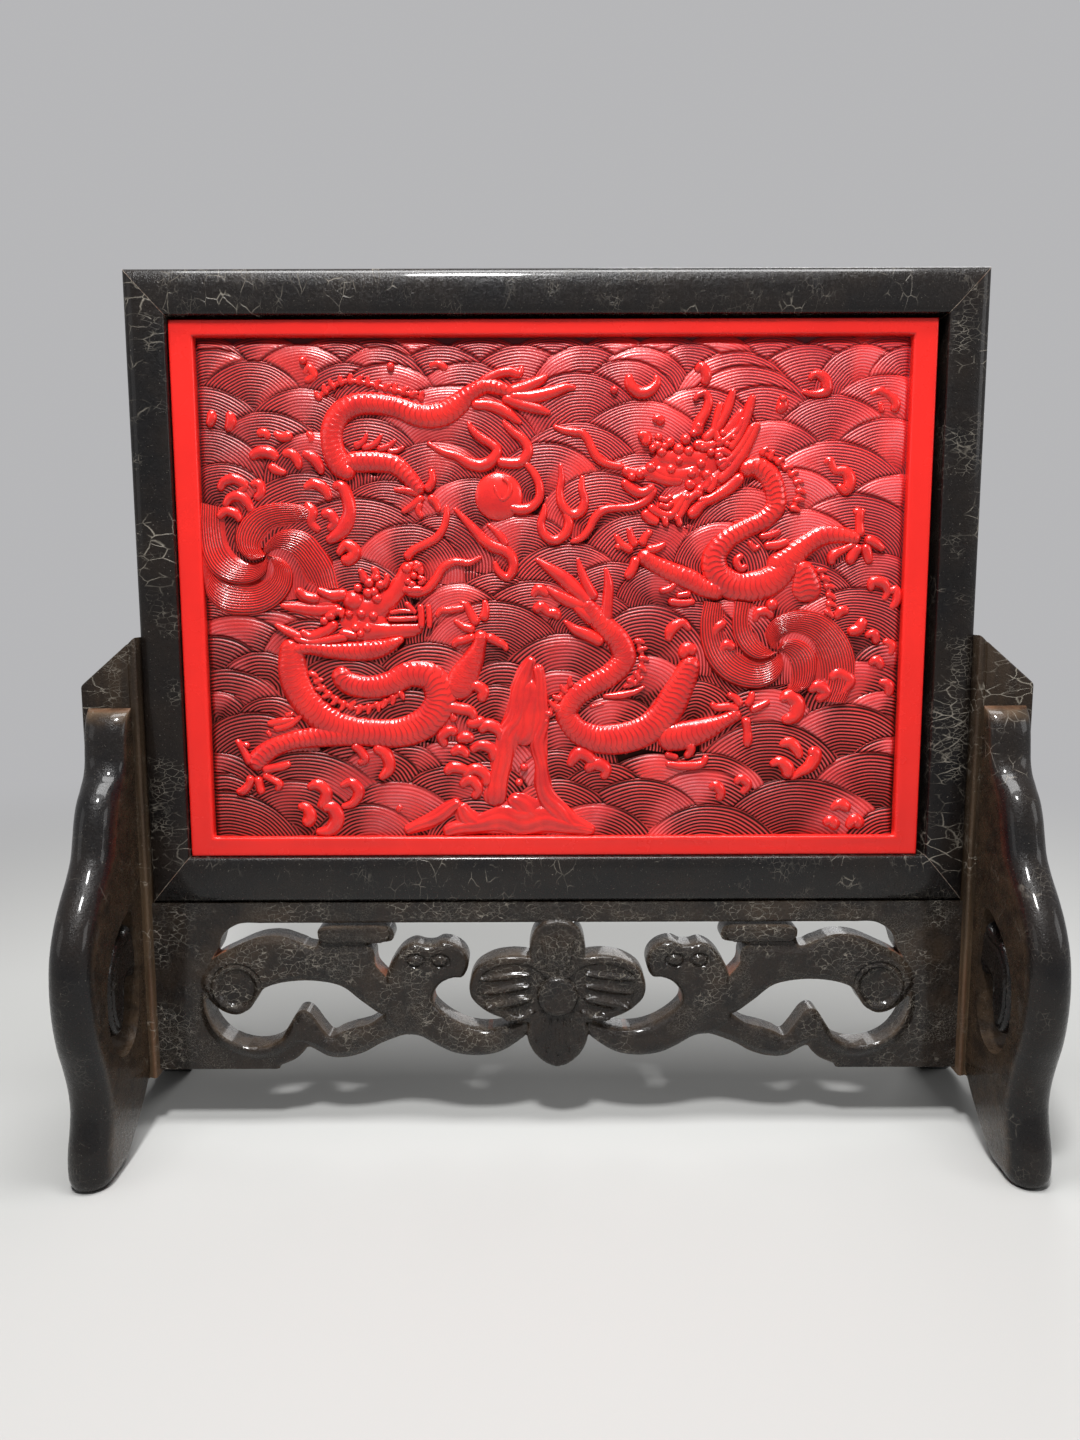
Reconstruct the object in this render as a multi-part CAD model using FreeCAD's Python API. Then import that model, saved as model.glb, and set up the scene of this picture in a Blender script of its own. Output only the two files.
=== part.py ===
# A lacquer table screen: a framed carved plaque that lifts out of a footed stand.
# Lengths are in millimetres. X runs along the width, Y from the front to the back, Z upwards.
# The origin is on the table, under the middle of the stand.
import FreeCAD
import Part
import math
import os

V = FreeCAD.Vector

# The screen frame: two rails and two stiles, mitred at the corners
frame_width = 399.4
frame_height = 299.6
frame_thickness = 24.0
stile_face = 19.2
top_rail_face = 20.8
bottom_rail_face = 23.0
front_crown = 1.6
outer_edge_round = 4.0
inner_edge_round = 2.2

# The mitre joint: a stub tenon on each rail, and a bamboo peg through it
tenon_thickness = 6.0
tenon_front_cover = 8.0
tenon_inner_margin = 3.0
tenon_outer_margin = 5.0
tenon_end_cover = 4.5
joint_clearance = 0.1
peg_diameter = 3.6
peg_past_tenon = 2.0
peg_clearance = 0.05

# The carved plaque: a lacquer coat on a wooden core, laid against the back board
plaque_left_gap = 0.4
plaque_right_gap = 3.6
plaque_top_gap = 1.4
plaque_recess = 4.0
lacquer_thickness = 7.0
core_thickness = 6.0
border_side = 11.3
border_top = 7.4
border_bottom = 9.6
carving_depth = 5.5
border_edge_round = 1.2

# Heights of the carving's main forms above the ground, which is the lowest place between them
sea_rise = 1.7
hill_rim_rise = 3.0
hill_middle_rise = 0.9
whirl_rise = 2.4
arm_rise = 3.6
figure_rise = 4.2
flame_rise = 3.8
spray_rise = 3.5
rock_rise = 3.9

# The back board, held by its edges in a groove round the frame
back_board_thickness = 4.0
back_board_tongue = 4.7
groove_depth = 5.2
groove_clearance = 0.15

# The tongues on the stiles, which slide in the posts
tongue_thickness = 6.0
tongue_depth = 5.0
tongue_top_margin = 5.0
slide_clearance = 0.3

# The stand: posts
post_width = 27.0
post_depth = 30.0
post_foot_height = 28.0
post_outer_height = 224.5
post_inner_height = 248.0
slot_end_room = 1.0
bead_width = 2.6
bead_groove_width = 1.2
bead_groove_depth = 0.9

# The stand: pierced apron between the posts
apron_top_height = 116.5
apron_height = 86.0
apron_thickness = 13.0
apron_set_back = 1.0
apron_tenon_length = 6.0
apron_tenon_thickness = 7.0
apron_tenon_margin = 10.0
flower_proud = 3.0
flower_boss_proud = 4.6
flower_boss_radius = 10.0

# The stand: four legs
leg_thickness = 20.0
leg_reach = 64.0
leg_height = 214.0
leg_round = 6.5
dowel_diameter = 6.0
dowel_length = 24.0
dowel_clearance = 0.05
lower_dowel_height = 42.0
upper_dowel_height = 160.0

# One overrun for every cut that runs past a face
overrun = 5.0

# Outline of a leg from the side, as shares of its reach and its height.
# It runs on behind the post's face and below the table, where the plank is cut back.
LEG_FRONT_SHARES = (
    (-0.250, 1.000), (0.000, 1.000), (0.060, 0.996), (0.115, 0.982), (0.158, 0.955), (0.182, 0.918),
    (0.205, 0.885), (0.250, 0.862), (0.330, 0.842), (0.415, 0.815), (0.478, 0.778), (0.520, 0.738),
    (0.565, 0.700), (0.650, 0.664), (0.760, 0.628), (0.880, 0.580), (0.967, 0.523), (1.000, 0.458),
    (0.990, 0.393), (0.942, 0.327), (0.870, 0.271), (0.816, 0.218), (0.802, 0.173), (0.835, 0.128),
    (0.878, 0.088), (0.893, 0.045), (0.868, 0.008), (0.820, -0.030), (0.780, -0.080),
)
LEG_UNDER_SHARES = (
    (0.560, -0.080), (0.560, 0.000), (0.380, 0.034), (0.180, 0.078), (0.000, 0.131), (-0.250, 0.131),
)
LEG_HOLE_SHARES = (
    (0.150, 0.500), (0.205, 0.552), (0.330, 0.548), (0.520, 0.508), (0.655, 0.450), (0.690, 0.380),
    (0.650, 0.312), (0.540, 0.262), (0.400, 0.246), (0.250, 0.262), (0.150, 0.310), (0.115, 0.400),
)
LEG_CURL_SHARES = (
    (0.040, 0.560), (0.210, 0.505), (0.400, 0.492), (0.530, 0.450), (0.580, 0.385), (0.540, 0.325),
    (0.450, 0.292), (0.350, 0.300), (0.290, 0.345), (0.270, 0.390), (0.180, 0.400), (0.040, 0.395),
)

# Outlines of the apron's carving, as shares of its half width and its height
OPENING_SHARES = (
    (0.726, 0.880), (0.795, 0.870), (0.828, 0.815), (0.842, 0.730), (0.866, 0.630), (0.876, 0.500),
    (0.876, 0.380), (0.860, 0.280), (0.832, 0.200), (0.796, 0.155), (0.752, 0.138), (0.710, 0.158),
    (0.678, 0.212),
)
WING_SHARES = ((0.660, 0.300), (0.626, 0.150), (0.652, 0.070), (0.700, 0.016))
ARM_SHARES = (
    (0.886, 0.590), (0.856, 0.672), (0.800, 0.740), (0.742, 0.795), (0.688, 0.802), (0.640, 0.765),
    (0.600, 0.735), (0.470, 0.735), (0.450, 0.620), (0.410, 0.500), (0.400, 0.330), (0.440, 0.330),
    (0.490, 0.410), (0.540, 0.500), (0.610, 0.533), (0.680, 0.525), (0.730, 0.490), (0.748, 0.440),
    (0.768, 0.370), (0.801, 0.330), (0.838, 0.352), (0.870, 0.420), (0.892, 0.500),
)
HEAD_SHARES = (
    (0.592, 0.690), (0.592, 0.790), (0.584, 0.855), (0.500, 0.862), (0.428, 0.858), (0.408, 0.825),
    (0.412, 0.770), (0.455, 0.752), (0.478, 0.730), (0.484, 0.660),
)
TREFOIL_SHARES = (
    (0.436, 0.300), (0.430, 0.450), (0.428, 0.560), (0.412, 0.650), (0.388, 0.722), (0.358, 0.758),
    (0.330, 0.745), (0.308, 0.745), (0.282, 0.768), (0.248, 0.745), (0.226, 0.690), (0.222, 0.620),
    (0.236, 0.550), (0.262, 0.542), (0.290, 0.512), (0.308, 0.455), (0.306, 0.390), (0.274, 0.318),
    (0.230, 0.262), (0.180, 0.240), (0.130, 0.252), (0.080, 0.290), (0.072, 0.220), (0.110, 0.140),
    (0.150, 0.090), (0.200, 0.072), (0.255, 0.086), (0.300, 0.132), (0.345, 0.190), (0.400, 0.215),
)
BAND_SHARES = (
    (0.690, 0.160), (0.660, 0.310), (0.640, 0.352), (0.618, 0.330), (0.592, 0.245), (0.570, 0.190),
    (0.545, 0.215), (0.515, 0.240), (0.470, 0.270), (0.420, 0.340), (0.360, 0.320), (0.350, 0.230),
    (0.400, 0.190), (0.445, 0.148), (0.485, 0.096), (0.530, 0.066), (0.575, 0.070), (0.625, 0.130),
)
SIDE_PETAL_SHARES = (
    (0.000, 0.560), (0.060, 0.672), (0.115, 0.688), (0.168, 0.662), (0.205, 0.600), (0.219, 0.520),
    (0.216, 0.440), (0.190, 0.370), (0.140, 0.310), (0.080, 0.280), (0.000, 0.330),
)
TOP_PETAL_SHARES = ((0.000, 0.500), (0.066, 0.650), (0.068, 0.760), (0.052, 0.850), (0.034, 0.882))
LOW_PETAL_SHARES = ((0.000, 0.400), (0.070, 0.300), (0.076, 0.200), (0.056, 0.090), (0.020, 0.024))
FLOWER_CENTRE_SHARE = 0.450
PETAL_TIP_SHARE = 0.900
LOW_PETAL_TIP_SHARE = 0.010

# The carving's main forms, by their pixels in the photograph. The field's corners run from the upper
# left one to the upper right, the lower right and the lower left. A hill of water is given by the
# top of its rim and its radius, a round form by its middle and its radius, a line of a dragon or a
# flame by places with half its width, and an arm of a whirlpool by its outer and its inner edge.
FIELD_PX = ((192.5, 334.7), (912.0, 334.7), (890.0, 836.0), (207.0, 836.0))
HILLS_PX = (
    (245, 343, 62), (378, 342, 60), (520, 342, 64), (660, 345, 62), (805, 343, 64), (450, 383, 90),
    (575, 372, 70), (832, 394, 66), (205, 426, 62), (310, 430, 56), (885, 417, 62), (352, 494, 88),
    (545, 440, 58), (790, 470, 60), (852, 492, 76), (600, 480, 64), (450, 578, 60), (520, 516, 60),
    (720, 520, 56), (872, 552, 64), (490, 598, 76), (645, 604, 62), (232, 612, 72), (425, 640, 62),
    (560, 636, 66), (860, 660, 66), (250, 709, 66), (555, 705, 60), (842, 703, 76), (765, 720, 82),
    (650, 754, 62), (300, 749, 88), (445, 752, 62), (700, 768, 72), (215, 788, 84), (390, 780, 72),
    (797, 778, 96), (706, 803, 78),
)
WHIRLS_PX = ((263, 552, 66), (774, 650, 76))
ARMS_PX = (
    (((314, 508), (270, 501), (238, 520), (237, 550), (258, 557)),
     ((310, 524), (276, 528), (260, 542), (258, 550), (260, 554))),
    (((336, 586), (320, 546), (292, 527), (268, 536), (261, 550)),
     ((304, 588), (292, 568), (276, 554), (268, 554), (263, 554))),
    (((200, 560), (206, 598), (240, 613), (280, 598), (288, 566), (268, 555)),
     ((208, 556), (220, 574), (248, 581), (263, 572), (267, 564), (264, 558))),
    (((197, 504), (200, 556), (224, 580), (254, 578), (265, 564)),
     ((222, 506), (226, 544), (246, 562), (256, 564), (262, 560))),
    (((730, 602), (730, 637), (751, 658), (772, 654)),
     ((756, 604), (756, 632), (766, 645), (773, 649))),
    (((700, 602), (697, 641), (718, 677), (758, 687), (780, 666), (779, 655)),
     ((728, 604), (731, 640), (744, 659), (762, 664), (772, 660), (775, 654))),
    (((842, 700), (852, 664), (836, 626), (800, 609), (767, 621), (764, 642)),
     ((806, 700), (810, 666), (798, 643), (786, 640), (777, 643), (772, 647))),
    (((798, 690), (812, 672), (804, 643), (786, 639), (775, 648)),
     ((782, 688), (782, 672), (780, 658), (779, 654), (777, 652))),
)
PEARL_PX = (496, 495, 24)
BODIES_PX = (
    ((336, 666, 10), (360, 685, 12), (385, 682, 13), (407, 672, 14), (427, 676, 15), (436, 695, 16),
     (425, 717, 16), (400, 730, 15), (368, 731, 15), (338, 726, 15), (312, 711, 16), (295, 690, 16),
     (287, 652, 15)),
    ((352, 476, 8), (331, 446, 12), (331, 428, 12), (338, 413, 12), (352, 404, 11), (372, 402, 11),
     (395, 406, 12), (418, 414, 13), (440, 413, 13), (457, 403, 12), (484, 385, 9), (512, 392, 8)),
    ((740, 470, 9), (765, 474, 11), (772, 490, 11), (772, 506, 11), (762, 518, 10), (742, 528, 10),
     (722, 540, 11), (711, 557, 13), (714, 573, 14), (728, 584, 15), (746, 586, 15), (764, 582, 16),
     (780, 570, 14), (792, 555, 11)),
    ((690, 655, 9), (682, 674, 13), (672, 694, 15), (660, 714, 15), (640, 730, 16), (614, 738, 16),
     (588, 737, 14), (570, 727, 12), (562, 712, 11), (570, 697, 11), (588, 684, 11), (607, 673, 12),
     (618, 658, 12), (615, 640, 12), (601, 625, 11), (581, 598, 8)),
    ((284, 650, 8), (325, 648, 10), (352, 649, 11), (378, 646, 9), (400, 636, 5)),
    ((342, 461, 9), (375, 460, 11), (392, 463, 10), (405, 474, 9), (421, 494, 8)),
    ((450, 698, 14), (459, 676, 15), (470, 656, 11), (476, 626, 10)),
    ((350, 733, 12), (330, 733, 12), (305, 736, 11), (283, 740, 10), (266, 747, 10), (248, 772, 10)),
    ((766, 574, 15), (784, 560, 13), (800, 546, 11), (820, 535, 11), (840, 535, 9), (862, 542, 9)),
    ((716, 592, 11), (704, 588, 10), (686, 579, 11), (665, 570, 10), (648, 561, 9), (632, 548, 10)),
    ((652, 738, 14), (680, 735, 14), (703, 728, 12), (722, 719, 8), (742, 710, 9)),
)
FLAMES_PX = (
    ((504, 394, 8), (530, 394, 9), (552, 390, 7), (574, 387, 4)),
    ((504, 388, 7), (525, 384, 7), (546, 376, 4)),
    ((480, 383, 6), (500, 373, 5), (518, 370, 4)),
    ((469, 404, 5), (500, 409, 7), (520, 421, 4)),
    ((430, 445, 4), (455, 455, 6), (480, 464, 7), (493, 456, 6), (484, 440, 5), (468, 424, 4)),
    ((494, 460, 5), (512, 462, 6), (525, 450, 6), (516, 436, 5), (503, 421, 4)),
    ((526, 464, 4), (537, 482, 5), (535, 500, 5), (512, 508, 5)),
    ((455, 509, 4), (471, 528, 5), (490, 545, 7), (508, 556, 6), (504, 574, 5)),
    ((399, 586, 5), (424, 587, 5), (440, 566, 5), (456, 560, 4), (478, 556, 3)),
    ((404, 556, 5), (422, 543, 5), (440, 527, 4), (444, 505, 3)),
    ((622, 466, 4), (598, 459, 5), (586, 440, 5), (570, 431, 5), (553, 426, 3)),
    ((652, 488, 5), (632, 505, 5), (604, 509, 5), (588, 524, 5), (570, 540, 3)),
    ((558, 466, 3), (558, 490, 5), (568, 512, 6), (582, 500, 5), (580, 478, 3)),
    ((563, 514, 5), (560, 534, 6), (542, 531, 5), (541, 505, 3)),
    ((588, 604, 8), (566, 583, 9), (536, 560, 4)),
    ((592, 600, 7), (582, 580, 6), (574, 560, 3)),
    ((603, 618, 7), (605, 592, 6), (602, 568, 3)),
    ((600, 640, 6), (580, 631, 7), (562, 621, 3)),
)
PAWS_PX = (
    (419, 495, 18), (472, 622, 22), (250, 768, 26), (858, 545, 22), (634, 550, 22), (740, 708, 22),
)
SPRAY_PX = (
    (282, 433, 12), (262, 456, 12), (306, 460, 14), (231, 484, 14), (234, 505, 14), (320, 490, 12),
    (342, 512, 14), (640, 384, 13), (544, 608, 15), (852, 622, 15), (787, 710, 14), (790, 758, 17),
    (325, 816, 18), (376, 764, 14), (456, 724, 18), (462, 778, 20), (582, 764, 18),
)
HEADS_PX = (
    ((280, 600), (310, 588), (345, 574), (380, 572), (405, 556), (420, 566), (418, 588), (430, 600),
     (426, 630), (380, 638), (330, 642), (278, 628)),
    ((620, 462), (640, 440), (668, 432), (692, 422), (716, 396), (752, 400), (750, 440), (724, 484),
     (690, 514), (660, 526), (642, 510), (654, 490), (626, 490)),
)
ROCK_PX = (
    (527, 654), (540, 664), (541, 700), (539, 740), (552, 790), (592, 832), (400, 832), (440, 804),
    (470, 806), (490, 778), (500, 730), (506, 690),
)

# Places that follow from the sizes above
frame_bottom = apron_top_height
frame_top = frame_bottom + frame_height
frame_left = -frame_width / 2
frame_right = frame_width / 2
frame_front = -frame_thickness / 2
frame_back = frame_thickness / 2
opening_left = frame_left + stile_face
opening_right = frame_right - stile_face
opening_bottom = frame_bottom + bottom_rail_face
opening_top = frame_top - top_rail_face
post_inner_x = frame_right + slide_clearance
post_outer_x = post_inner_x + post_width
post_front = -post_depth / 2
leg_middle_x = post_inner_x + post_width / 2
plaque_left = opening_left + plaque_left_gap
plaque_right = opening_right - plaque_right_gap
plaque_bottom = opening_bottom
plaque_top = opening_top - plaque_top_gap
lacquer_front = frame_front + plaque_recess
core_front = lacquer_front + lacquer_thickness
carving_ground = lacquer_front + carving_depth
carving_root = (carving_ground + core_front) / 2
board_front = core_front + core_thickness
board_back = board_front + back_board_thickness
tenon_front = frame_front + tenon_front_cover
tenon_back = tenon_front + tenon_thickness
tongue_top = post_inner_height - tongue_top_margin
apron_front = frame_front + apron_set_back
apron_back = apron_front + apron_thickness
apron_bottom = apron_top_height - apron_height


def box(x0, x1, y0, y1, z0, z1):
    """A block between two opposite corners."""
    return Part.makeBox(x1 - x0, y1 - y0, z1 - z0, V(x0, y0, z0))


def mirror_x(shape):
    return shape.mirror(V(0, 0, 0), V(1, 0, 0))


def mirror_y(shape):
    return shape.mirror(V(0, 0, 0), V(0, 1, 0))


def grown(x0, x1, y0, y1, z0, z1, gap):
    """The same block with a clearance all round, for the hole that takes it."""
    return box(x0 - gap, x1 + gap, y0 - gap, y1 + gap, z0 - gap, z1 + gap)


def prism(corners, direction):
    """A straight-sided solid over a closed polygon."""
    wire = Part.makePolygon([*corners, corners[0]])
    return Part.Face(wire).extrude(direction)


def spline_edge(points):
    curve = Part.BSplineCurve()
    curve.interpolate(points)
    return curve.toShape()


def blob(points, direction):
    """A solid over one smooth closed outline."""
    curve = Part.BSplineCurve()
    curve.interpolate(points, PeriodicFlag=True)
    return Part.Face(Part.Wire(curve.toShape())).extrude(direction)


def round_bar(radius, length, start, direction):
    return Part.makeCylinder(radius, length, start, direction)


def member_profile(face, to_point):
    """The section of a frame member. The first coordinate runs outwards from the opening,
    the second from front to back. The front is a shallow crown with rounded edges."""
    arris = frame_front + front_crown
    diagonal = 1 - 0.5 ** 0.5
    inner_side = to_point(0, arris + inner_edge_round)
    inner_mid = to_point(inner_edge_round * diagonal, arris + inner_edge_round * diagonal)
    inner_front = to_point(inner_edge_round, arris)
    crown = to_point(face / 2, frame_front)
    outer_front = to_point(face - outer_edge_round, arris)
    outer_mid = to_point(face - outer_edge_round * diagonal, arris + outer_edge_round * diagonal)
    outer_side = to_point(face, arris + outer_edge_round)
    outer_back = to_point(face, frame_back)
    inner_back = to_point(0, frame_back)
    groove_a = to_point(0, board_back + groove_clearance)
    groove_b = to_point(groove_depth, board_back + groove_clearance)
    groove_c = to_point(groove_depth, board_front - groove_clearance)
    groove_d = to_point(0, board_front - groove_clearance)
    edges = [
        Part.Arc(inner_side, inner_mid, inner_front).toShape(),
        Part.Arc(inner_front, crown, outer_front).toShape(),
        Part.Arc(outer_front, outer_mid, outer_side).toShape(),
        Part.makeLine(outer_side, outer_back),
        Part.makeLine(outer_back, inner_back),
        Part.makeLine(inner_back, groove_a),
        Part.makeLine(groove_a, groove_b),
        Part.makeLine(groove_b, groove_c),
        Part.makeLine(groove_c, groove_d),
        Part.makeLine(groove_d, inner_side),
    ]
    return Part.Face(Part.Wire(edges))


def mitre_mask(corners):
    """The stretch of a member between its two mitres, as a slab wider than the frame is thick."""
    points = [V(x, frame_front - overrun, z) for x, z in corners]
    return prism(points, V(0, frame_thickness + 2 * overrun, 0))


def tenon_block(right, top, gap):
    """The stub tenon at one corner, or the mortise that takes it."""
    x0 = opening_right - tenon_inner_margin
    x1 = frame_right - tenon_end_cover
    z0 = opening_top + tenon_inner_margin if top else frame_bottom + tenon_outer_margin
    z1 = frame_top - tenon_outer_margin if top else opening_bottom - tenon_inner_margin
    block = grown(x0, x1, tenon_front, tenon_back, z0, z1, gap)
    return block if right else mirror_x(block)


def peg_at(right, top, gap):
    """A peg driven in from the back, through the tenon."""
    x = frame_right - stile_face / 2
    z = frame_top - top_rail_face / 2 if top else frame_bottom + bottom_rail_face / 2
    start = V(x if right else -x, frame_back, z)
    length = frame_back - tenon_front + peg_past_tenon
    return round_bar(peg_diameter / 2 + gap, length + gap, start, V(0, -1, 0))


def rail(top):
    """The top or bottom rail, with a tenon at each end."""
    face = top_rail_face if top else bottom_rail_face
    edge = opening_top if top else opening_bottom
    outward = 1 if top else -1

    def to_point(out, y):
        return V(frame_left, y, edge + outward * out)

    bar = member_profile(face, to_point).extrude(V(frame_width, 0, 0))
    outer = frame_top if top else frame_bottom
    corners = [(frame_left, outer), (frame_right, outer), (opening_right, edge), (opening_left, edge)]
    solid = bar.common(mitre_mask(corners))
    for right in (False, True):
        solid = solid.fuse(tenon_block(right, top, 0))
        solid = solid.cut(peg_at(right, top, peg_clearance))
    return solid.removeSplitter()


def stile(right):
    """A side member, with the mortises for the rails and the tongue that slides in the post."""

    def to_point(out, y):
        return V(opening_right + out, y, frame_bottom)

    bar = member_profile(stile_face, to_point).extrude(V(0, 0, frame_height))
    corners = [
        (frame_right, frame_bottom),
        (frame_right, frame_top),
        (opening_right, opening_top),
        (opening_right, opening_bottom),
    ]
    solid = bar.common(mitre_mask(corners))
    solid = solid.fuse(
        box(
            frame_right,
            frame_right + tongue_depth,
            -tongue_thickness / 2,
            tongue_thickness / 2,
            frame_bottom,
            tongue_top,
        )
    )
    for top in (False, True):
        solid = solid.cut(tenon_block(True, top, joint_clearance))
        solid = solid.cut(peg_at(True, top, peg_clearance))
    solid = solid.removeSplitter()
    return solid if right else mirror_x(solid)


def corner_pegs():
    pegs = [peg_at(right, top, 0) for right in (False, True) for top in (False, True)]
    return Part.makeCompound(pegs)


def back_board():
    """A thin board whose edges stand in the groove round the frame."""
    return box(
        opening_left - back_board_tongue,
        opening_right + back_board_tongue,
        board_front,
        board_back,
        opening_bottom - back_board_tongue,
        opening_top + back_board_tongue,
    )


def plaque_core():
    return box(plaque_left, plaque_right, core_front, board_front, plaque_bottom, plaque_top)


def field_place(pixels, height):
    """The place on the carving of a pixel of the photograph. The top of the field is wider there than
    its foot, because it is nearer to the camera, so a pixel at the top covers less across and down."""
    x, y = pixels
    upper_left, upper_right, lower_right, lower_left = FIELD_PX
    down = (y - upper_left[1]) / (lower_left[1] - upper_left[1])
    left = upper_left[0] + (lower_left[0] - upper_left[0]) * down
    right = upper_right[0] + (lower_right[0] - upper_right[0]) * down
    growth = (upper_right[0] - upper_left[0]) / (lower_right[0] - lower_left[0]) - 1
    fall = down * (1 + growth * down) / (1 + growth)
    width = plaque_right - plaque_left - 2 * border_side
    top = plaque_top - border_top
    tall = top - plaque_bottom - border_bottom
    along = plaque_left + border_side + width * (x - left) / (right - left)
    return V(along, carving_ground - height, top - tall * fall)


def field_scale():
    """Length on the carving of one pixel."""
    return (plaque_right - plaque_left - 2 * border_side) / (FIELD_PX[1][0] - FIELD_PX[3][0])


def raised_from(face, height):
    """A form with the given face at a height above the ground, rooted in the coat below the ground."""
    return face.extrude(V(0, height + carving_root - carving_ground, 0))


def water_hill(x, y, radius):
    """A disc that leans forward, so that only the part below its rim stands out of the sea, like a scale
    of a fish."""
    reach = radius * field_scale()
    rim = field_place((x, y), hill_rim_rise)
    lean = math.degrees(math.atan2(hill_rim_rise - hill_middle_rise, reach))
    disc = round_bar(reach, lacquer_thickness, V(rim.x, rim.y, rim.z - reach), V(0, 1, 0))
    disc.rotate(rim, V(1, 0, 0), lean)
    return disc


def round_form(x, y, radius, height):
    """A round plate with its face at a height above the ground."""
    centre = field_place((x, y), height)
    return round_bar(radius * field_scale(), carving_root - centre.y, centre, V(0, 1, 0))


def band(one, other, height):
    """A plate between two smooth lines that run the same way, closed straight across at both ends."""
    edges = [
        spline_edge(one),
        Part.makeLine(one[-1], other[-1]),
        spline_edge(other),
        Part.makeLine(other[0], one[0]),
    ]
    return raised_from(Part.Face(Part.Wire(Part.sortEdges(edges)[0])), height)


def body_form(line, height):
    """A band along a dragon's or a flame's line, whose two sides lie half its width from the line."""
    middle = [field_place(place[:2], height) for place in line]
    one, other = [], []
    for i, point in enumerate(middle):
        ahead = middle[min(i + 1, len(middle) - 1)] - middle[max(i - 1, 0)]
        side = V(-ahead.z, 0, ahead.x).normalize() * line[i][2] * field_scale()
        one.append(point + side)
        other.append(point - side)
    return band(one, other, height)


def whirl_arm(outer, inner):
    """One arm of a whirlpool, a crescent that ends at the eye."""
    edges = [[field_place(place, arm_rise) for place in edge] for edge in (outer, inner)]
    return band(*edges, arm_rise)


def outlined_form(outline, height):
    """A plate with straight sides over a closed outline."""
    corners = [field_place(place, height) for place in outline]
    return raised_from(Part.Face(Part.makePolygon([*corners, corners[0]])), height)


def carving():
    """The main forms of the carving, each rooted in the coat and ending inside its border. Their fine
    lines are too small for a solid."""
    forms = [water_hill(*hill) for hill in HILLS_PX]
    forms += [round_form(*whirl, whirl_rise) for whirl in WHIRLS_PX]
    forms += [whirl_arm(*arm) for arm in ARMS_PX]
    forms += [round_form(*place, spray_rise) for place in PAWS_PX + SPRAY_PX]
    forms += [body_form(line, flame_rise) for line in FLAMES_PX]
    forms += [body_form(line, figure_rise) for line in BODIES_PX]
    forms += [outlined_form(head, figure_rise) for head in HEADS_PX]
    forms += [outlined_form(ROCK_PX, rock_rise), round_form(*PEARL_PX, figure_rise)]
    room = box(plaque_left + border_side / 2, plaque_right - border_side / 2, lacquer_front, carving_root,
        plaque_bottom + border_bottom / 2, plaque_top - border_top / 2)
    return [form.common(room) for form in forms]


def carved_lacquer():
    """The red coat: a raised border round a field that is carved down to the sea, where the main forms of
    the carving stand."""
    coat = box(plaque_left, plaque_right, lacquer_front, core_front, plaque_bottom, plaque_top)
    field = box(plaque_left + border_side, plaque_right - border_side, lacquer_front - overrun,
        carving_ground - sea_rise, plaque_bottom + border_bottom, plaque_top - border_top)
    coat = coat.cut(field)
    front_edges = [e for e in coat.Edges if e.BoundBox.YMax < lacquer_front + joint_clearance]
    coat = coat.makeFillet(border_edge_round, front_edges)
    for form in carving():
        coat = coat.fuse(form)
    return coat.removeSplitter()


def apron_outline(shares, side):
    """Points of an apron outline at its front face, on the right side (1) or the left side (-1)."""
    half = post_inner_x
    return [V(side * x * half, apron_front, apron_bottom + z * apron_height) for x, z in shares]


def apron_board(side):
    """Half of the board: the strip under the frame, the end block and the wing below the scroll."""
    depth = V(0, apron_thickness, 0)
    block = box(0, post_inner_x, apron_front, apron_back, apron_bottom, apron_top_height)
    if side < 0:
        block = mirror_x(block)
    rim = apron_outline(OPENING_SHARES, side)
    wing = apron_outline(WING_SHARES, side)
    below = apron_bottom - overrun
    middle_top = V(0, apron_front, rim[0].z)
    middle_low = V(0, apron_front, below)
    edges = [
        Part.makeLine(middle_top, rim[0]),
        spline_edge(rim),
        Part.makeLine(rim[-1], wing[0]),
        spline_edge(wing),
        Part.makeLine(wing[-1], V(wing[-1].x, apron_front, below)),
        Part.makeLine(V(wing[-1].x, apron_front, below), middle_low),
        Part.makeLine(middle_low, middle_top),
    ]
    return block.cut(Part.Face(Part.Wire(edges)).extrude(depth))


def petal(shares, tip, side):
    """Half an upright petal, from the flower's middle line out to one side."""
    proud = V(0, -flower_proud, 0)
    depth = V(0, apron_thickness + flower_proud, 0)
    rim = apron_outline(shares, side)
    end = apron_outline([(0, tip)], side)[0]
    edges = [spline_edge(rim), Part.makeLine(rim[-1], end), Part.makeLine(end, rim[0])]
    solid = Part.Face(Part.Wire(edges)).extrude(depth)
    solid.translate(proud)
    return solid


def flower():
    """The four-petalled flower with its round boss."""
    solids = []
    for side in (1, -1):
        solids.append(petal(TOP_PETAL_SHARES, PETAL_TIP_SHARE, side))
        solids.append(petal(LOW_PETAL_SHARES, LOW_PETAL_TIP_SHARE, side))
        rim = apron_outline(SIDE_PETAL_SHARES, side)
        edges = [spline_edge(rim), Part.makeLine(rim[-1], rim[0])]
        leaf = Part.Face(Part.Wire(edges)).extrude(V(0, apron_thickness + flower_proud, 0))
        leaf.translate(V(0, -flower_proud, 0))
        solids.append(leaf)
    boss_front = apron_front - flower_boss_proud
    centre = V(0, boss_front, apron_bottom + FLOWER_CENTRE_SHARE * apron_height)
    solids.append(round_bar(flower_boss_radius, apron_back - boss_front, centre, V(0, 1, 0)))
    return solids


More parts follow.
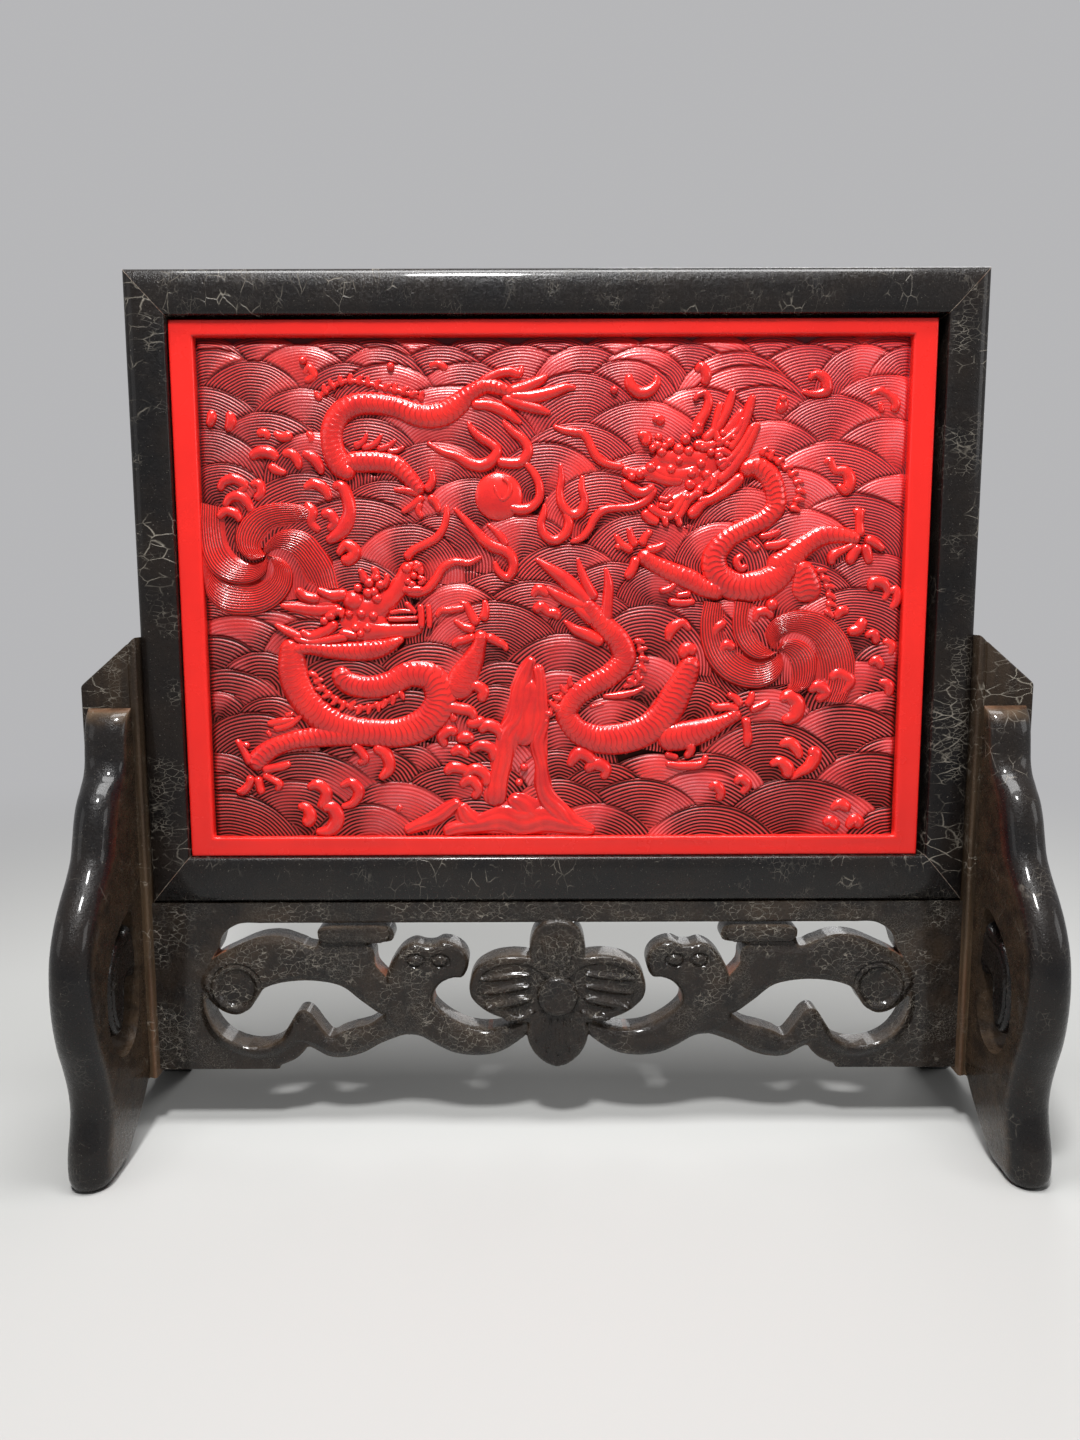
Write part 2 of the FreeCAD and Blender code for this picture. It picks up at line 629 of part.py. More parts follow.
def apron_tenon(side, gap):
    """The tenon at one end of the apron, or the mortise in the post."""
    middle = (apron_front + apron_back) / 2
    block = grown(
        post_inner_x - overrun,
        post_inner_x + apron_tenon_length,
        middle - apron_tenon_thickness / 2,
        middle + apron_tenon_thickness / 2,
        apron_bottom + apron_tenon_margin,
        apron_top_height - apron_tenon_margin,
        gap,
    )
    return block if side > 0 else mirror_x(block)


def pierced_apron():
    depth = V(0, apron_thickness, 0)
    solids = flower()
    for side in (1, -1):
        solids.append(apron_board(side))
        for shares in (ARM_SHARES, HEAD_SHARES, TREFOIL_SHARES, BAND_SHARES):
            solids.append(blob(apron_outline(shares, side), depth))
        solids.append(apron_tenon(side, 0))
    whole = solids[0].multiFuse(solids[1:])
    return whole.removeSplitter()


def dowel(height, gap):
    """A dowel between the right post and its front leg."""
    start = V(leg_middle_x, post_front - dowel_length / 2 - gap, height)
    return round_bar(dowel_diameter / 2 + gap, dowel_length + 2 * gap, start, V(0, 1, 0))


def leg_points(shares):
    """Points of a leg's outline on its inner side."""
    x = leg_middle_x - leg_thickness / 2
    return [V(x, post_front - reach * leg_reach, rise * leg_height) for reach, rise in shares]


def front_right_leg():
    """The right front leg: a plank sawn to an S curve, pierced round a hanging curl."""
    across = V(leg_thickness, 0, 0)
    front = leg_points(LEG_FRONT_SHARES)
    under = leg_points(LEG_UNDER_SHARES)
    edges = [
        spline_edge(front),
        Part.makeLine(front[-1], under[0]),
        spline_edge(under),
        Part.makeLine(under[-1], front[0]),
    ]
    plank = Part.Face(Part.Wire(edges)).extrude(across)
    long_edges = [
        e
        for e in plank.Edges
        if e.BoundBox.XLength < joint_clearance and e.BoundBox.ZLength > leg_height / 2
        and e.BoundBox.YLength > leg_reach / 2
    ]
    plank = plank.makeFillet(leg_round, long_edges)
    x0 = leg_middle_x - leg_thickness
    x1 = leg_middle_x + leg_thickness
    room = box(x0, x1, post_front - 2 * leg_reach, post_front, 0, 2 * leg_height)
    plank = plank.common(room)
    hole = blob(leg_points(LEG_HOLE_SHARES), across)
    curl = blob(leg_points(LEG_CURL_SHARES), across)
    plank = plank.cut(hole.cut(curl))
    for height in (lower_dowel_height, upper_dowel_height):
        plank = plank.cut(dowel(height, dowel_clearance))
    return plank


def leg_dowels():
    dowels = []
    for height in (lower_dowel_height, upper_dowel_height):
        one = dowel(height, 0)
        dowels += [one, mirror_x(one), mirror_y(one), mirror_y(mirror_x(one))]
    return Part.makeCompound(dowels)


def right_post():
    """A square post with a sloping shoulder, a slot for the screen and a bead beside it."""
    corners = [
        V(post_inner_x, post_front, post_foot_height),
        V(post_outer_x, post_front, post_foot_height),
        V(post_outer_x, post_front, post_outer_height),
        V(post_inner_x, post_front, post_inner_height),
    ]
    post = prism(corners, V(0, post_depth, 0))
    slot_half = tongue_thickness / 2 + slide_clearance
    slot_back = frame_right + tongue_depth + slot_end_room
    post = post.cut(
        box(
            post_inner_x - overrun,
            slot_back,
            -slot_half,
            slot_half,
            apron_top_height,
            post_inner_height + overrun,
        )
    )
    post = post.cut(apron_tenon(1, joint_clearance))
    for height in (lower_dowel_height, upper_dowel_height):
        post = post.cut(dowel(height, dowel_clearance))
        post = post.cut(mirror_y(dowel(height, dowel_clearance)))
    groove = box(
        post_inner_x + bead_width,
        post_inner_x + bead_width + bead_groove_width,
        post_front - overrun,
        post_front + bead_groove_depth,
        post_foot_height - overrun,
        post_inner_height + overrun,
    )
    post = post.cut(groove)
    return post.cut(mirror_y(groove))


def save(name, shape):
    """Writes one sub-part and prints how many solids it holds and its volume."""
    solids = shape.Solids
    if len(solids) == 1:
        shape = solids[0]
    shape.exportStep("parts/" + name + ".step")
    print(name, len(solids), "solids", round(sum(s.Volume for s in solids)), "mm3", shape.isValid())


def main():
    os.makedirs("parts", exist_ok=True)
    save("frame_top_rail", rail(True))
    save("frame_bottom_rail", rail(False))
    save("frame_left_stile", stile(False))
    save("frame_right_stile", stile(True))
    save("frame_corner_pegs", corner_pegs())
    save("back_board", back_board())
    save("plaque_core", plaque_core())
    save("carved_lacquer", carved_lacquer())
    save("pierced_apron", pierced_apron())
    post = right_post()
    save("right_post", post)
    save("left_post", mirror_x(post))
    leg = front_right_leg()
    save("front_right_leg", leg)
    save("front_left_leg", mirror_x(leg))
    save("rear_right_leg", mirror_y(leg))
    save("rear_left_leg", mirror_y(mirror_x(leg)))
    save("leg_dowels", leg_dowels())


main()
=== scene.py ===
# %% [markdown]
# # A lacquer table screen
# The object is a small screen for a table: a black lacquer frame holds a plaque of carved red
# lacquer, and stands in two posts with scrolled legs and a pierced apron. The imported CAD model
# gives every piece its place and its motion, and the main forms of the carving. Here each piece
# gets its finish, and the carved ones get their rounded tops, grooves, ribs and scales.

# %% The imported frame
import bpy
import numpy as np
from mathutils import Matrix, Vector


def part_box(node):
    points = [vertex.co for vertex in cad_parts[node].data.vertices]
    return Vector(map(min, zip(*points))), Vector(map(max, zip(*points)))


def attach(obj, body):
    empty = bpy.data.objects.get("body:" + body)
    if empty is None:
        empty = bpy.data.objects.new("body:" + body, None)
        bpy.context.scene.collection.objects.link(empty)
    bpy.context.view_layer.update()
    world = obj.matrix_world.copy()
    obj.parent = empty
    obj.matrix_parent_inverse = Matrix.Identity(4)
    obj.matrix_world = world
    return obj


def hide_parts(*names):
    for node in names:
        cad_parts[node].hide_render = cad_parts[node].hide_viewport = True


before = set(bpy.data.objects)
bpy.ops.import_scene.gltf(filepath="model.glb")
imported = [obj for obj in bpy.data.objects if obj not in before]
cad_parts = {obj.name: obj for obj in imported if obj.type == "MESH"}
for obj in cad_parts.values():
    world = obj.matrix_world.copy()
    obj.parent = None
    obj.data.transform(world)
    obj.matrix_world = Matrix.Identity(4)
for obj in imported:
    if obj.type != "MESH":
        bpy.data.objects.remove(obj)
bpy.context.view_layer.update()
MM = 0.001

# %% [markdown]
# ## The camera
# The photograph was taken with a wide lens, half a metre in front of the screen and about as high
# as its middle, looking slightly down. A camera could be aimed by hand until the picture looks
# alike. Here its place and its three angles are written down, because they were measured from the
# corners of the frame, and a roll of a sixth of a degree is hard to see but easy to type.

# %% Camera
CAMERA_PLACE_MM = (-8.7, -507.8, 270.0)
CAMERA_PITCH, CAMERA_ROLL, CAMERA_YAW = np.radians((7.2, 0.17, -0.04))
lens = bpy.data.cameras.new("camera")
lens.sensor_fit = "VERTICAL"
lens.sensor_height = 36
lens.lens = 26
camera = bpy.data.objects.new("camera", lens)
turn = (
    Matrix.Rotation(CAMERA_YAW, 3, "Z")
    @ Matrix.Rotation(np.pi / 2 - CAMERA_PITCH, 3, "X")
    @ Matrix.Rotation(-CAMERA_ROLL, 3, "Z")
)
camera.rotation_euler = turn.to_euler()
camera.location = Vector(CAMERA_PLACE_MM) * MM
bpy.context.scene.collection.objects.link(camera)
bpy.context.scene.camera = camera
print("camera at", [round(v, 4) for v in camera.location])

# %% [markdown]
# ## Light and floor
# Black lacquer shows almost nothing but its reflections, and carving shows itself by its shadows,
# so the place of the key lamp matters more than its brightness. It hangs in front of the screen,
# fifty-six degrees above it: there the border of the plaque throws a shadow one and a half times as
# wide as the border is deep. It is small, so the grooves stay crisp. A wide lamp overhead draws the
# long highlights, and weak ones at the sides and behind keep the shadows from going black.

# %% Lamps, world and floor
# Flat lamps that look at the middle of the screen: place, width and height in metres, power in watts
LAMPS = {
    "key_lamp": ((-0.10, -0.66, 1.24), 0.16, 0.16, 16.0),
    "overhead_lamp": ((0.0, -0.20, 1.25), 0.90, 0.30, 14.0),
    "left_fill": ((-1.30, -0.70, 0.60), 0.50, 0.50, 1.0),
    "right_fill": ((1.30, -0.60, 0.70), 0.50, 0.50, 3.0),
    "back_lamp": ((0.50, 1.30, 0.90), 0.80, 0.80, 9.0),
}
SCREEN_MIDDLE = Vector((0.0, 0.0, 0.25))
for name, (place, width, height, power) in LAMPS.items():
    data = bpy.data.lights.new(name, "AREA")
    data.shape = "RECTANGLE"
    data.size, data.size_y, data.energy = width, height, power
    lamp = bpy.data.objects.new(name, data)
    lamp.location = place
    lamp.rotation_euler = (SCREEN_MIDDLE - Vector(place)).to_track_quat("-Z", "Y").to_euler()
    bpy.context.scene.collection.objects.link(lamp)

PALE_BACK = (0.47, 0.47, 0.48, 1)
WORLD_LIGHT = 0.09


def wire(tree, *pairs):
    """Joins sockets of a node tree, each output to its input."""
    for source, target in pairs:
        tree.links.new(source, target)


def seen_directly(tree):
    """A socket that is 1 for what the camera sees, itself or in a reflection, and 0 for what gives light."""
    path = tree.nodes.new("ShaderNodeLightPath")
    seen = path.outputs["Is Camera Ray"]
    for other in ("Is Glossy Ray", "Is Transmission Ray"):
        either = tree.nodes.new("ShaderNodeMath")
        either.operation = "MAXIMUM"
        wire(tree, (seen, either.inputs[0]), (path.outputs[other], either.inputs[1]))
        seen = either.outputs[0]
    return seen


world = bpy.data.worlds.new("studio")
bpy.context.scene.world = world
world.use_nodes = True
sky = world.node_tree
sky.nodes.clear()
sky_out, sky_mix, sky_light, sky_back = (
    sky.nodes.new("ShaderNode" + kind) for kind in ("OutputWorld", "MixShader", "Background", "Background")
)
sky_light.inputs["Strength"].default_value = WORLD_LIGHT
sky_back.inputs["Color"].default_value = PALE_BACK
wire(
    sky,
    (seen_directly(sky), sky_mix.inputs[0]),
    (sky_light.outputs[0], sky_mix.inputs[1]),
    (sky_back.outputs[0], sky_mix.inputs[2]),
    (sky_mix.outputs[0], sky_out.inputs[0]),
)
bpy.context.scene.view_settings.view_transform = "Standard"

# %% [markdown]
# The floor goes over into the backdrop without a line, as a paper roll does in a studio. Instead of
# a curved sheet, the paint of a flat floor turns into the colour of the backdrop with distance.

# %% Floor
FLOOR_HALF = 3.0
FLOOR_PAPER = (0.44, 0.44, 0.43, 1)
FADE_START, FADE_END = 0.35, 1.20
floor_mesh = bpy.data.meshes.new("floor")
floor_corners = [(x * FLOOR_HALF, y * FLOOR_HALF, 0) for x, y in ((-1, -1), (1, -1), (1, 1), (-1, 1))]
floor_mesh.from_pydata(floor_corners, [], [(0, 1, 2, 3)])
floor = bpy.data.objects.new("floor", floor_mesh)
bpy.context.scene.collection.objects.link(floor)
floor_paint = bpy.data.materials.new("floor_paint")
floor_paint.use_nodes = True
paint = floor_paint.node_tree
paper = paint.nodes["Principled BSDF"]
paper.inputs["Base Color"].default_value = FLOOR_PAPER
paper.inputs["Roughness"].default_value = 0.9
place, away, fade, both, glow, blend = (
    paint.nodes.new("ShaderNode" + kind)
    for kind in ("TexCoord", "VectorMath", "MapRange", "Math", "Emission", "MixShader")
)
away.operation = "LENGTH"
fade.interpolation_type = "SMOOTHSTEP"
fade.inputs["From Min"].default_value = FADE_START
fade.inputs["From Max"].default_value = FADE_END
both.operation = "MULTIPLY"
glow.inputs["Color"].default_value = PALE_BACK
wire(
    paint,
    (place.outputs["Object"], away.inputs[0]),
    (away.outputs["Value"], fade.inputs["Value"]),
    (fade.outputs[0], both.inputs[0]),
    (seen_directly(paint), both.inputs[1]),
    (both.outputs[0], blend.inputs[0]),
    (paper.outputs[0], blend.inputs[1]),
    (glow.outputs[0], blend.inputs[2]),
    (blend.outputs[0], paint.nodes["Material Output"].inputs["Surface"]),
)
floor_mesh.materials.append(floor_paint)
print("floor half width", FLOOR_HALF, "m, faded from", FADE_START, "to", FADE_END)

# %% [markdown]
# ## Materials as small kits of nodes
# Every finish here is built from the same few bricks: a noise that varies with the place on the
# object, a ramp that turns it into a mask, and a mix of two colours. A little helper class keeps
# the node wiring to one line per brick, so that the finishes below can be read like a recipe.

# %% A helper for shader nodes
class Recipe:
    """A material under construction. Places are read in object coordinates, in metres."""

    def __init__(self, name):
        self.material = bpy.data.materials.new(name)
        self.material.use_nodes = True
        self.tree = self.material.node_tree
        self.shader = self.tree.nodes["Principled BSDF"]
        self.place = self.node("ShaderNodeTexCoord").outputs["Object"]

    def node(self, kind, **sockets):
        made = self.tree.nodes.new(kind)
        for name, value in sockets.items():
            self.feed(made.inputs[name.replace("_", " ")], value)
        return made

    def feed(self, socket, value):
        if isinstance(value, bpy.types.NodeSocket):
            self.tree.links.new(value, socket)
        else:
            socket.default_value = value

    def set(self, **sockets):
        for name, value in sockets.items():
            self.feed(self.shader.inputs[name.replace("_", " ")], value)

    def stretched(self, scale):
        """The place with each axis multiplied, so that a pattern comes out longer or shorter along it."""
        return self.node("ShaderNodeMapping", Vector=self.place, Scale=scale).outputs[0]

    def noise(self, scale, detail=4, place=None, roughness=0.55):
        sockets = {"Vector": place or self.place, "Scale": scale, "Detail": detail, "Roughness": roughness}
        return self.node("ShaderNodeTexNoise", **sockets).outputs["Fac"]

    def ramp(self, value, low, high, out_low=0.0, out_high=1.0):
        """A value mapped from low..high to out_low..out_high, held at the ends."""
        ends = {"From_Min": low, "From_Max": high, "To_Min": out_low, "To_Max": out_high}
        return self.node("ShaderNodeMapRange", Value=value, **ends).outputs[0]

    def mix(self, factor, first, second):
        """A colour that goes from the first to the second as the factor goes from 0 to 1."""
        made = self.node("ShaderNodeMix")
        made.data_type = "RGBA"
        self.feed(made.inputs[0], factor)
        for index, value in ((6, first), (7, second)):
            self.feed(made.inputs[index], value if isinstance(value, bpy.types.NodeSocket) else (*value, 1))
        return made.outputs[2]

    def math(self, operation, first, second):
        made = self.node("ShaderNodeMath")
        made.operation = operation
        self.feed(made.inputs[0], first)
        self.feed(made.inputs[1], second)
        return made.outputs[0]

    def times(self, first, second):
        return self.math("MULTIPLY", first, second)

    def plus(self, first, second):
        return self.math("ADD", first, second)

    def larger(self, first, second):
        return self.math("MAXIMUM", first, second)

    def along(self, axis):
        """Where a point lies along the X, Y or Z axis of the object, in metres."""
        return self.node("ShaderNodeSeparateXYZ", Vector=self.place).outputs[axis]

    def attribute(self, name):
        made = self.node("ShaderNodeAttribute")
        made.attribute_name = name
        return made.outputs["Fac"]

    def bump(self, height, distance, strength):
        made = self.node("ShaderNodeBump", Strength=strength, Distance=distance, Height=height)
        self.set(Normal=made.outputs[0])

    def cracks(self, scale, width, place, warp):
        """Thin lines between the cells of a Voronoi pattern, bent by noise: 1 on a line, 0 off it."""
        bend = self.node("ShaderNodeTexNoise", Vector=place, Scale=scale * 0.6, Detail=3.0)
        shift = self.node("ShaderNodeVectorMath")
        shift.operation = "MULTIPLY_ADD"
        for socket, value in zip(shift.inputs, (bend.outputs["Color"], (warp, warp, warp), place)):
            self.feed(socket, value)
        cells = self.node("ShaderNodeTexVoronoi", Vector=shift.outputs[0], Scale=scale)
        cells.feature = "DISTANCE_TO_EDGE"
        return self.ramp(cells.outputs["Distance"], 0.0, width, 1.0, 0.0)


# %% [markdown]
# ## Red lacquer
# The plaque is coated with many layers of lacquer coloured with cinnabar and carved while they are
# still soft. What stands high has been rubbed smooth and shines, and the cuts between stay dull and
# collect dirt. The carving functions below write down for each point how deep in a cut it lies, in
# an attribute called tone, and the finish reads it: from maroon in the cuts to vermilion on top. The
# tone also carries painted shade: down the flanks of strokes, away from the crests of waves and whirl
# arms, under nearer waves, and a painted shadow along the border.

# %% Red lacquer finishes
VERMILION, WORN_VERMILION = (0.80, 0.020, 0.014), (0.70, 0.016, 0.012)
DEEP_RED, MAROON = (0.58, 0.012, 0.012), (0.030, 0.005, 0.003)
SEA_DEEP, SEA_BRIGHT = (0.58, 0.012, 0.014), (0.82, 0.028, 0.024)
PALE_RUB_AND_SHEEN, PAINTED_LIT_GROOVE = (0.78, 0.158, 0.172), (0.150, 0.040, 0.052)


def red_border_finish():
    """Smooth polished lacquer: one colour, with the slight waviness of a hand-rubbed flat."""
    r = Recipe("red_border")
    r.set(Base_Color=r.mix(r.ramp(r.noise(18.0, 3), 0.35, 0.7), VERMILION, WORN_VERMILION))
    r.set(Roughness=r.ramp(r.noise(60.0, 4), 0.3, 0.7, 0.20, 0.32), Specular_IOR_Level=0.4)
    r.bump(r.noise(75.0, 2), 0.0006, 0.25)
    return r.material


def red_relief_finish():
    """The high figures: glossy vermilion, darker where the attribute tone is low: deep in a cut, and in
    painted shade down the flanks of strokes and away from the crests of whirl arms.
    """
    r = Recipe("red_relief")
    top = r.mix(r.ramp(r.noise(90.0, 4), 0.35, 0.7), VERMILION, DEEP_RED)
    r.set(Base_Color=r.mix(r.ramp(r.attribute("tone"), 0.0, 0.85), MAROON, top))
    r.set(Roughness=r.ramp(r.noise(300.0, 4), 0.3, 0.7, 0.14, 0.27), Specular_IOR_Level=0.6)
    r.bump(r.noise(420.0, 3), 0.0004, 0.4)
    return r.material


def red_sea_finish():
    """The waves: dull dark grooves, and ridges whose tops are pale in patches, partly rubbed and partly a
    painted sheen. Towards the upper right the patches grow and the grooves turn paler, which is painted
    light, and towards the left the crests darken, which is painted shade."""
    r = Recipe("red_sea")
    tone = r.attribute("tone")
    crest = r.mix(r.ramp(r.noise(28.0, 4), 0.40, 0.66), SEA_DEEP, SEA_BRIGHT)
    # right and high grow towards the right and the top of the plaque: they lay painted light on the upper
    # right of the sea and painted shade on its left.
    right = r.ramp(r.along("X"), -0.15, 0.17)
    high = r.times(r.ramp(r.along("Z"), 0.22, 0.39), r.ramp(right, 0, 1, 0.30, 1.0))
    # Pale patches on the ridge tops: partly rubbed lacquer, partly a painted sheen that grows towards the
    # upper right.
    pale = r.plus(r.noise(42.0, 5), r.ramp(r.plus(high, right), 0, 2, -0.03, 0.26))
    rubbed = r.times(r.ramp(tone, 0.70, 0.96), r.ramp(pale, 0.45, 0.70, 0.0, 0.90))
    crest = r.mix(rubbed, crest, PALE_RUB_AND_SHEEN)
    # Painted shade: the crests darken towards the left.
    crest = r.mix(r.ramp(right, 0.0, 0.55, 0.26, 0.0), crest, MAROON)
    # Painted light: the grooves turn paler towards the upper right.
    depth = r.plus(tone, r.ramp(high, 0, 1, 0.0, 0.30))
    r.set(Base_Color=r.mix(r.ramp(depth, 0.28, 0.86), r.mix(high, MAROON, PAINTED_LIT_GROOVE), crest))
    r.set(Roughness=r.ramp(tone, 0.2, 1.0, 0.60, 0.22))
    r.set(Specular_IOR_Level=r.ramp(tone, 0.2, 0.9, 0.1, 0.9))
    r.bump(r.noise(900.0, 3), 0.0003, 0.4)
    return r.material


red_border = red_border_finish()
red_relief = red_relief_finish()
red_sea = red_sea_finish()
print("red finishes:", [m.name for m in (red_border, red_relief, red_sea)])

# %% [markdown]
# ## Black lacquer
# Old black lacquer has a fine net of age cracks with pale dust in them, a brown tinge where hands
# have rubbed it thin, and a broken gloss. On the members of the frame the cracks run across in
# long wandering lines, so the pattern is stretched. The same recipe serves frame, posts, legs and
# apron, with numbers for how cracked, how brown and how shiny each of them is.

# %% Black lacquer finishes
BLACK = (0.0045, 0.0040, 0.0042)
WARM_BLACK = (0.012, 0.0085, 0.0065)
RUBBED_BROWN = (0.082, 0.052, 0.030)
PRIMER = (0.26, 0.085, 0.040)
DUST = (0.36, 0.325, 0.27)


def black_finish(
    name, cracked, brown, shine, stretch=(0.5, 1, 1), crack_scale=165.0, grain=0.5, drag=(1, 1, 1)
):
    """Black lacquer. cracked, brown and shine go from 0 to 1, stretch draws the cracks out and drag the
    rubbed patches. The attribute tone is the wear: up to a half it turns the black brown, then the
    reddish ground coat shows, and near 1 a split with pale dust in it."""
    r = Recipe(name)
    colour = r.mix(r.ramp(r.noise(35.0, 5), 0.35, 0.72), BLACK, WARM_BLACK)
    wear = r.attribute("tone")
    dragged = r.stretched(drag)
    patches = r.noise(24.0, 6, dragged)
    patches = r.ramp(patches, 0.66 - 0.28 * brown, 0.86 - 0.2 * brown, 0.0, 0.8 * brown)
    flakes = r.ramp(r.noise(140.0, 6, dragged), 0.36, 0.60)
    rubbed = r.larger(patches, r.times(r.ramp(wear, 0.0, 0.5), r.ramp(flakes, 0, 1, 0.35, 1.0)))
    colour = r.mix(rubbed, colour, RUBBED_BROWN)
    colour = r.mix(r.times(r.ramp(wear, 0.5, 0.9), r.ramp(flakes, 0, 1, 0.5, 1.0)), colour, PRIMER)
    # Two nets of cracks, each shown in patches only
    place = r.stretched(stretch)
    broken = r.ramp(r.noise(95.0, 4), 0.46 - 0.08 * cracked, 0.56 - 0.08 * cracked)
    where = r.ramp(r.noise(26.0, 3), 0.62 - 0.2 * cracked, 0.70 - 0.16 * cracked)
    lines = r.times(r.cracks(crack_scale, 0.02 + 0.035 * cracked, place, 0.005), r.times(where, broken))
    fine_where = r.noise(60.0, 3)
    fine_where = r.ramp(fine_where, 0.60 - 0.12 * cracked, 0.70 - 0.1 * cracked, 0.0, 0.25 + 0.5 * cracked)
    net = r.larger(lines, r.times(r.cracks(crack_scale * 2.7, 0.05, place, 0.002), fine_where))
    colour = r.mix(r.times(net, 0.35 + 0.5 * cracked), colour, DUST)
    colour = r.mix(r.ramp(r.noise(1500.0, 2), 0.70, 0.76, 0.0, 0.5), colour, DUST)
    colour = r.mix(r.times(r.ramp(wear, 0.92, 0.97), r.ramp(broken, 0, 1, 0.35, 0.9)), colour, DUST)
    # Gloss that is broken by a fine noise, and lost where the lacquer is rubbed or cracked
    r.set(Base_Color=colour, Specular_IOR_Level=0.10 + 0.06 * shine)
    gloss = r.noise(800.0, 5, roughness=0.7)
    gloss = r.ramp(gloss, 0.35, 0.65, 0.34 - 0.22 * shine, 0.66 - 0.26 * shine)
    r.set(Roughness=r.larger(gloss, r.larger(r.times(rubbed, 0.55), r.times(net, 0.7))))
    r.set(Coat_Weight=0.42 * shine, Coat_Roughness=0.09)
    ripple = r.plus(r.noise(330.0, 3), r.times(r.noise(1300.0, 4), 0.7))
    r.bump(r.math("SUBTRACT", ripple, r.times(net, 0.6)), 0.0008, grain)
    return r.material


rail_black = black_finish("rail_black", 0.35, 0.05, 1.0, (1, 1, 0.6), grain=0.42, drag=(0.2, 1, 1))
stile_black = black_finish("stile_black", 0.6, 0.10, 0.45, grain=0.40)
post_black = black_finish("post_black", 0.5, 0.55, 0.35, drag=(1, 1, 0.10))
leg_black = black_finish("leg_black", 0.25, 0.05, 0.75, (1, 1, 1), 130.0, 0.40)
apron_black = black_finish("apron_black", 0.78, 0.60, 0.9, (0.7, 1, 1), 340.0, 1.0)
back_black = black_finish("back_black", 0.5, 0.1, 0.4)
blacks = (rail_black, stile_black, post_black, leg_black, apron_black, back_black)
print("black finishes:", [m.name for m in blacks])

# %% [markdown]
# ## Bare wood, and which node gets which finish
# The core, the dowels and the pegs are bare wood, and of these only the ends of the pegs show, at the
# back of the frame. Grain is a noise that is drawn out along the fibres.

# %% Wood finishes
def wood_finish(name, light, dark, rings):
    """Bare wood: thin wavy lines along X, from a noise that is squeezed across the grain."""
    r = Recipe(name)
    grain = r.noise(rings, 5, r.stretched((0.06, 1.0, 1.0)))
    r.set(Base_Color=r.mix(r.ramp(grain, 0.35, 0.65), light, dark))
    r.set(Roughness=0.6)
    r.bump(grain, 0.0003, 0.3)
    return r.material


core_wood = wood_finish("core_wood", (0.42, 0.26, 0.14), (0.27, 0.15, 0.07), 900.0)
bamboo = wood_finish("bamboo", (0.56, 0.41, 0.21), (0.42, 0.28, 0.12), 1800.0)
print("wood finishes:", core_wood.name, bamboo.name)

# %% Finishes on the CAD nodes
NODE_FINISHES = (
    (rail_black, ("frame_top_rail", "frame_bottom_rail")),
    (stile_black, ("frame_left_stile", "frame_right_stile")),
    (back_black, ("back_board",)),
    (post_black, ("left_post", "right_post")),
    (apron_black, ("pierced_apron",)),
    (leg_black, ("front_left_leg", "front_right_leg", "rear_left_leg", "rear_right_leg")),
    (core_wood, ("plaque_core",)),
    (red_border, ("carved_lacquer",)),
    (bamboo, ("frame_corner_pegs", "leg_dowels")),
)
for finish, nodes in NODE_FINISHES:
    for node in nodes:
        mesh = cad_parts[node].data
        mesh.materials.clear()
        mesh.materials.append(finish)
print("finished CAD nodes:", sum(len(nodes) for _, nodes in NODE_FINISHES))

# %% [markdown]
# ## Surfaces as arrays
# Each carved form is a sheet or a tube that a formula gives on a grid of two parameters: numpy
# works out all its points at once, and the faces follow from the grid alone. Modelling by hand with
# a sculpting brush would also work, but the grid keeps every groove even, can be measured, and
# gives the same mesh on each run. A form is a pair of arrays, points and quads, with one tone per
# point. Welding joins points that lie on the same spot, which closes seams and poles.

# %% Grids, welding and pieces
def grid_quads(rows, columns, wrap=False):
    """Quads between neighbours on a grid numbered row by row. With wrap, the last column meets the first."""
    i, j = np.meshgrid(np.arange(rows - 1), np.arange(columns if wrap else columns - 1), indexing="ij")
    k = (j + 1) % columns
    corners = (i * columns + j, i * columns + k, (i + 1) * columns + k, (i + 1) * columns + j)
    return np.stack(corners, -1).reshape(-1, 4)


def joined(forms):
    """Several forms as one: the points follow each other, and each form's quads count on from there."""
    starts = np.cumsum([0] + [len(points) for points, _, _ in forms[:-1]])
    points = np.concatenate([points for points, _, _ in forms])
    quads = np.concatenate([quads + start for (_, quads, _), start in zip(forms, starts)])
    tones = np.concatenate([tone for _, _, tone in forms])
    return points, quads, tones


def volume(points, quads):
    """Signed volume of a closed form: the sum over its triangles of corner dot (corner cross corner) / 6."""
    a, b, c, d = (points[quads[:, k]] for k in range(4))
    return (np.einsum("ij,ij->i", a, np.cross(b, c)) + np.einsum("ij,ij->i", a, np.cross(c, d))).sum() / 6


def outward(form):
    """The form with its quads turned round if it is inside out."""
    points, quads, tones = form
    return form if volume(points, quads) > 0 else (points, quads[:, ::-1], tones)


def facing_front(form):
    """An open sheet with its quads turned so that most of them look to the front, along -Y."""
    points, quads, tones = form
    a, b, c = (points[quads[:, k]] for k in range(3))
    return form if np.cross(b - a, c - a)[:, 1].sum() < 0 else (points, quads[:, ::-1], tones)


WELD_STEP = 0.002
SHARP = np.radians(38)


def welded(points, quads):
    """The number of the first point on each spot, and the quads numbered over those points alone."""
    spots = np.round(points / WELD_STEP).astype(np.int64)
    _, first, new = np.unique(spots, axis=0, return_index=True, return_inverse=True)
    return first, new.reshape(-1)[quads]


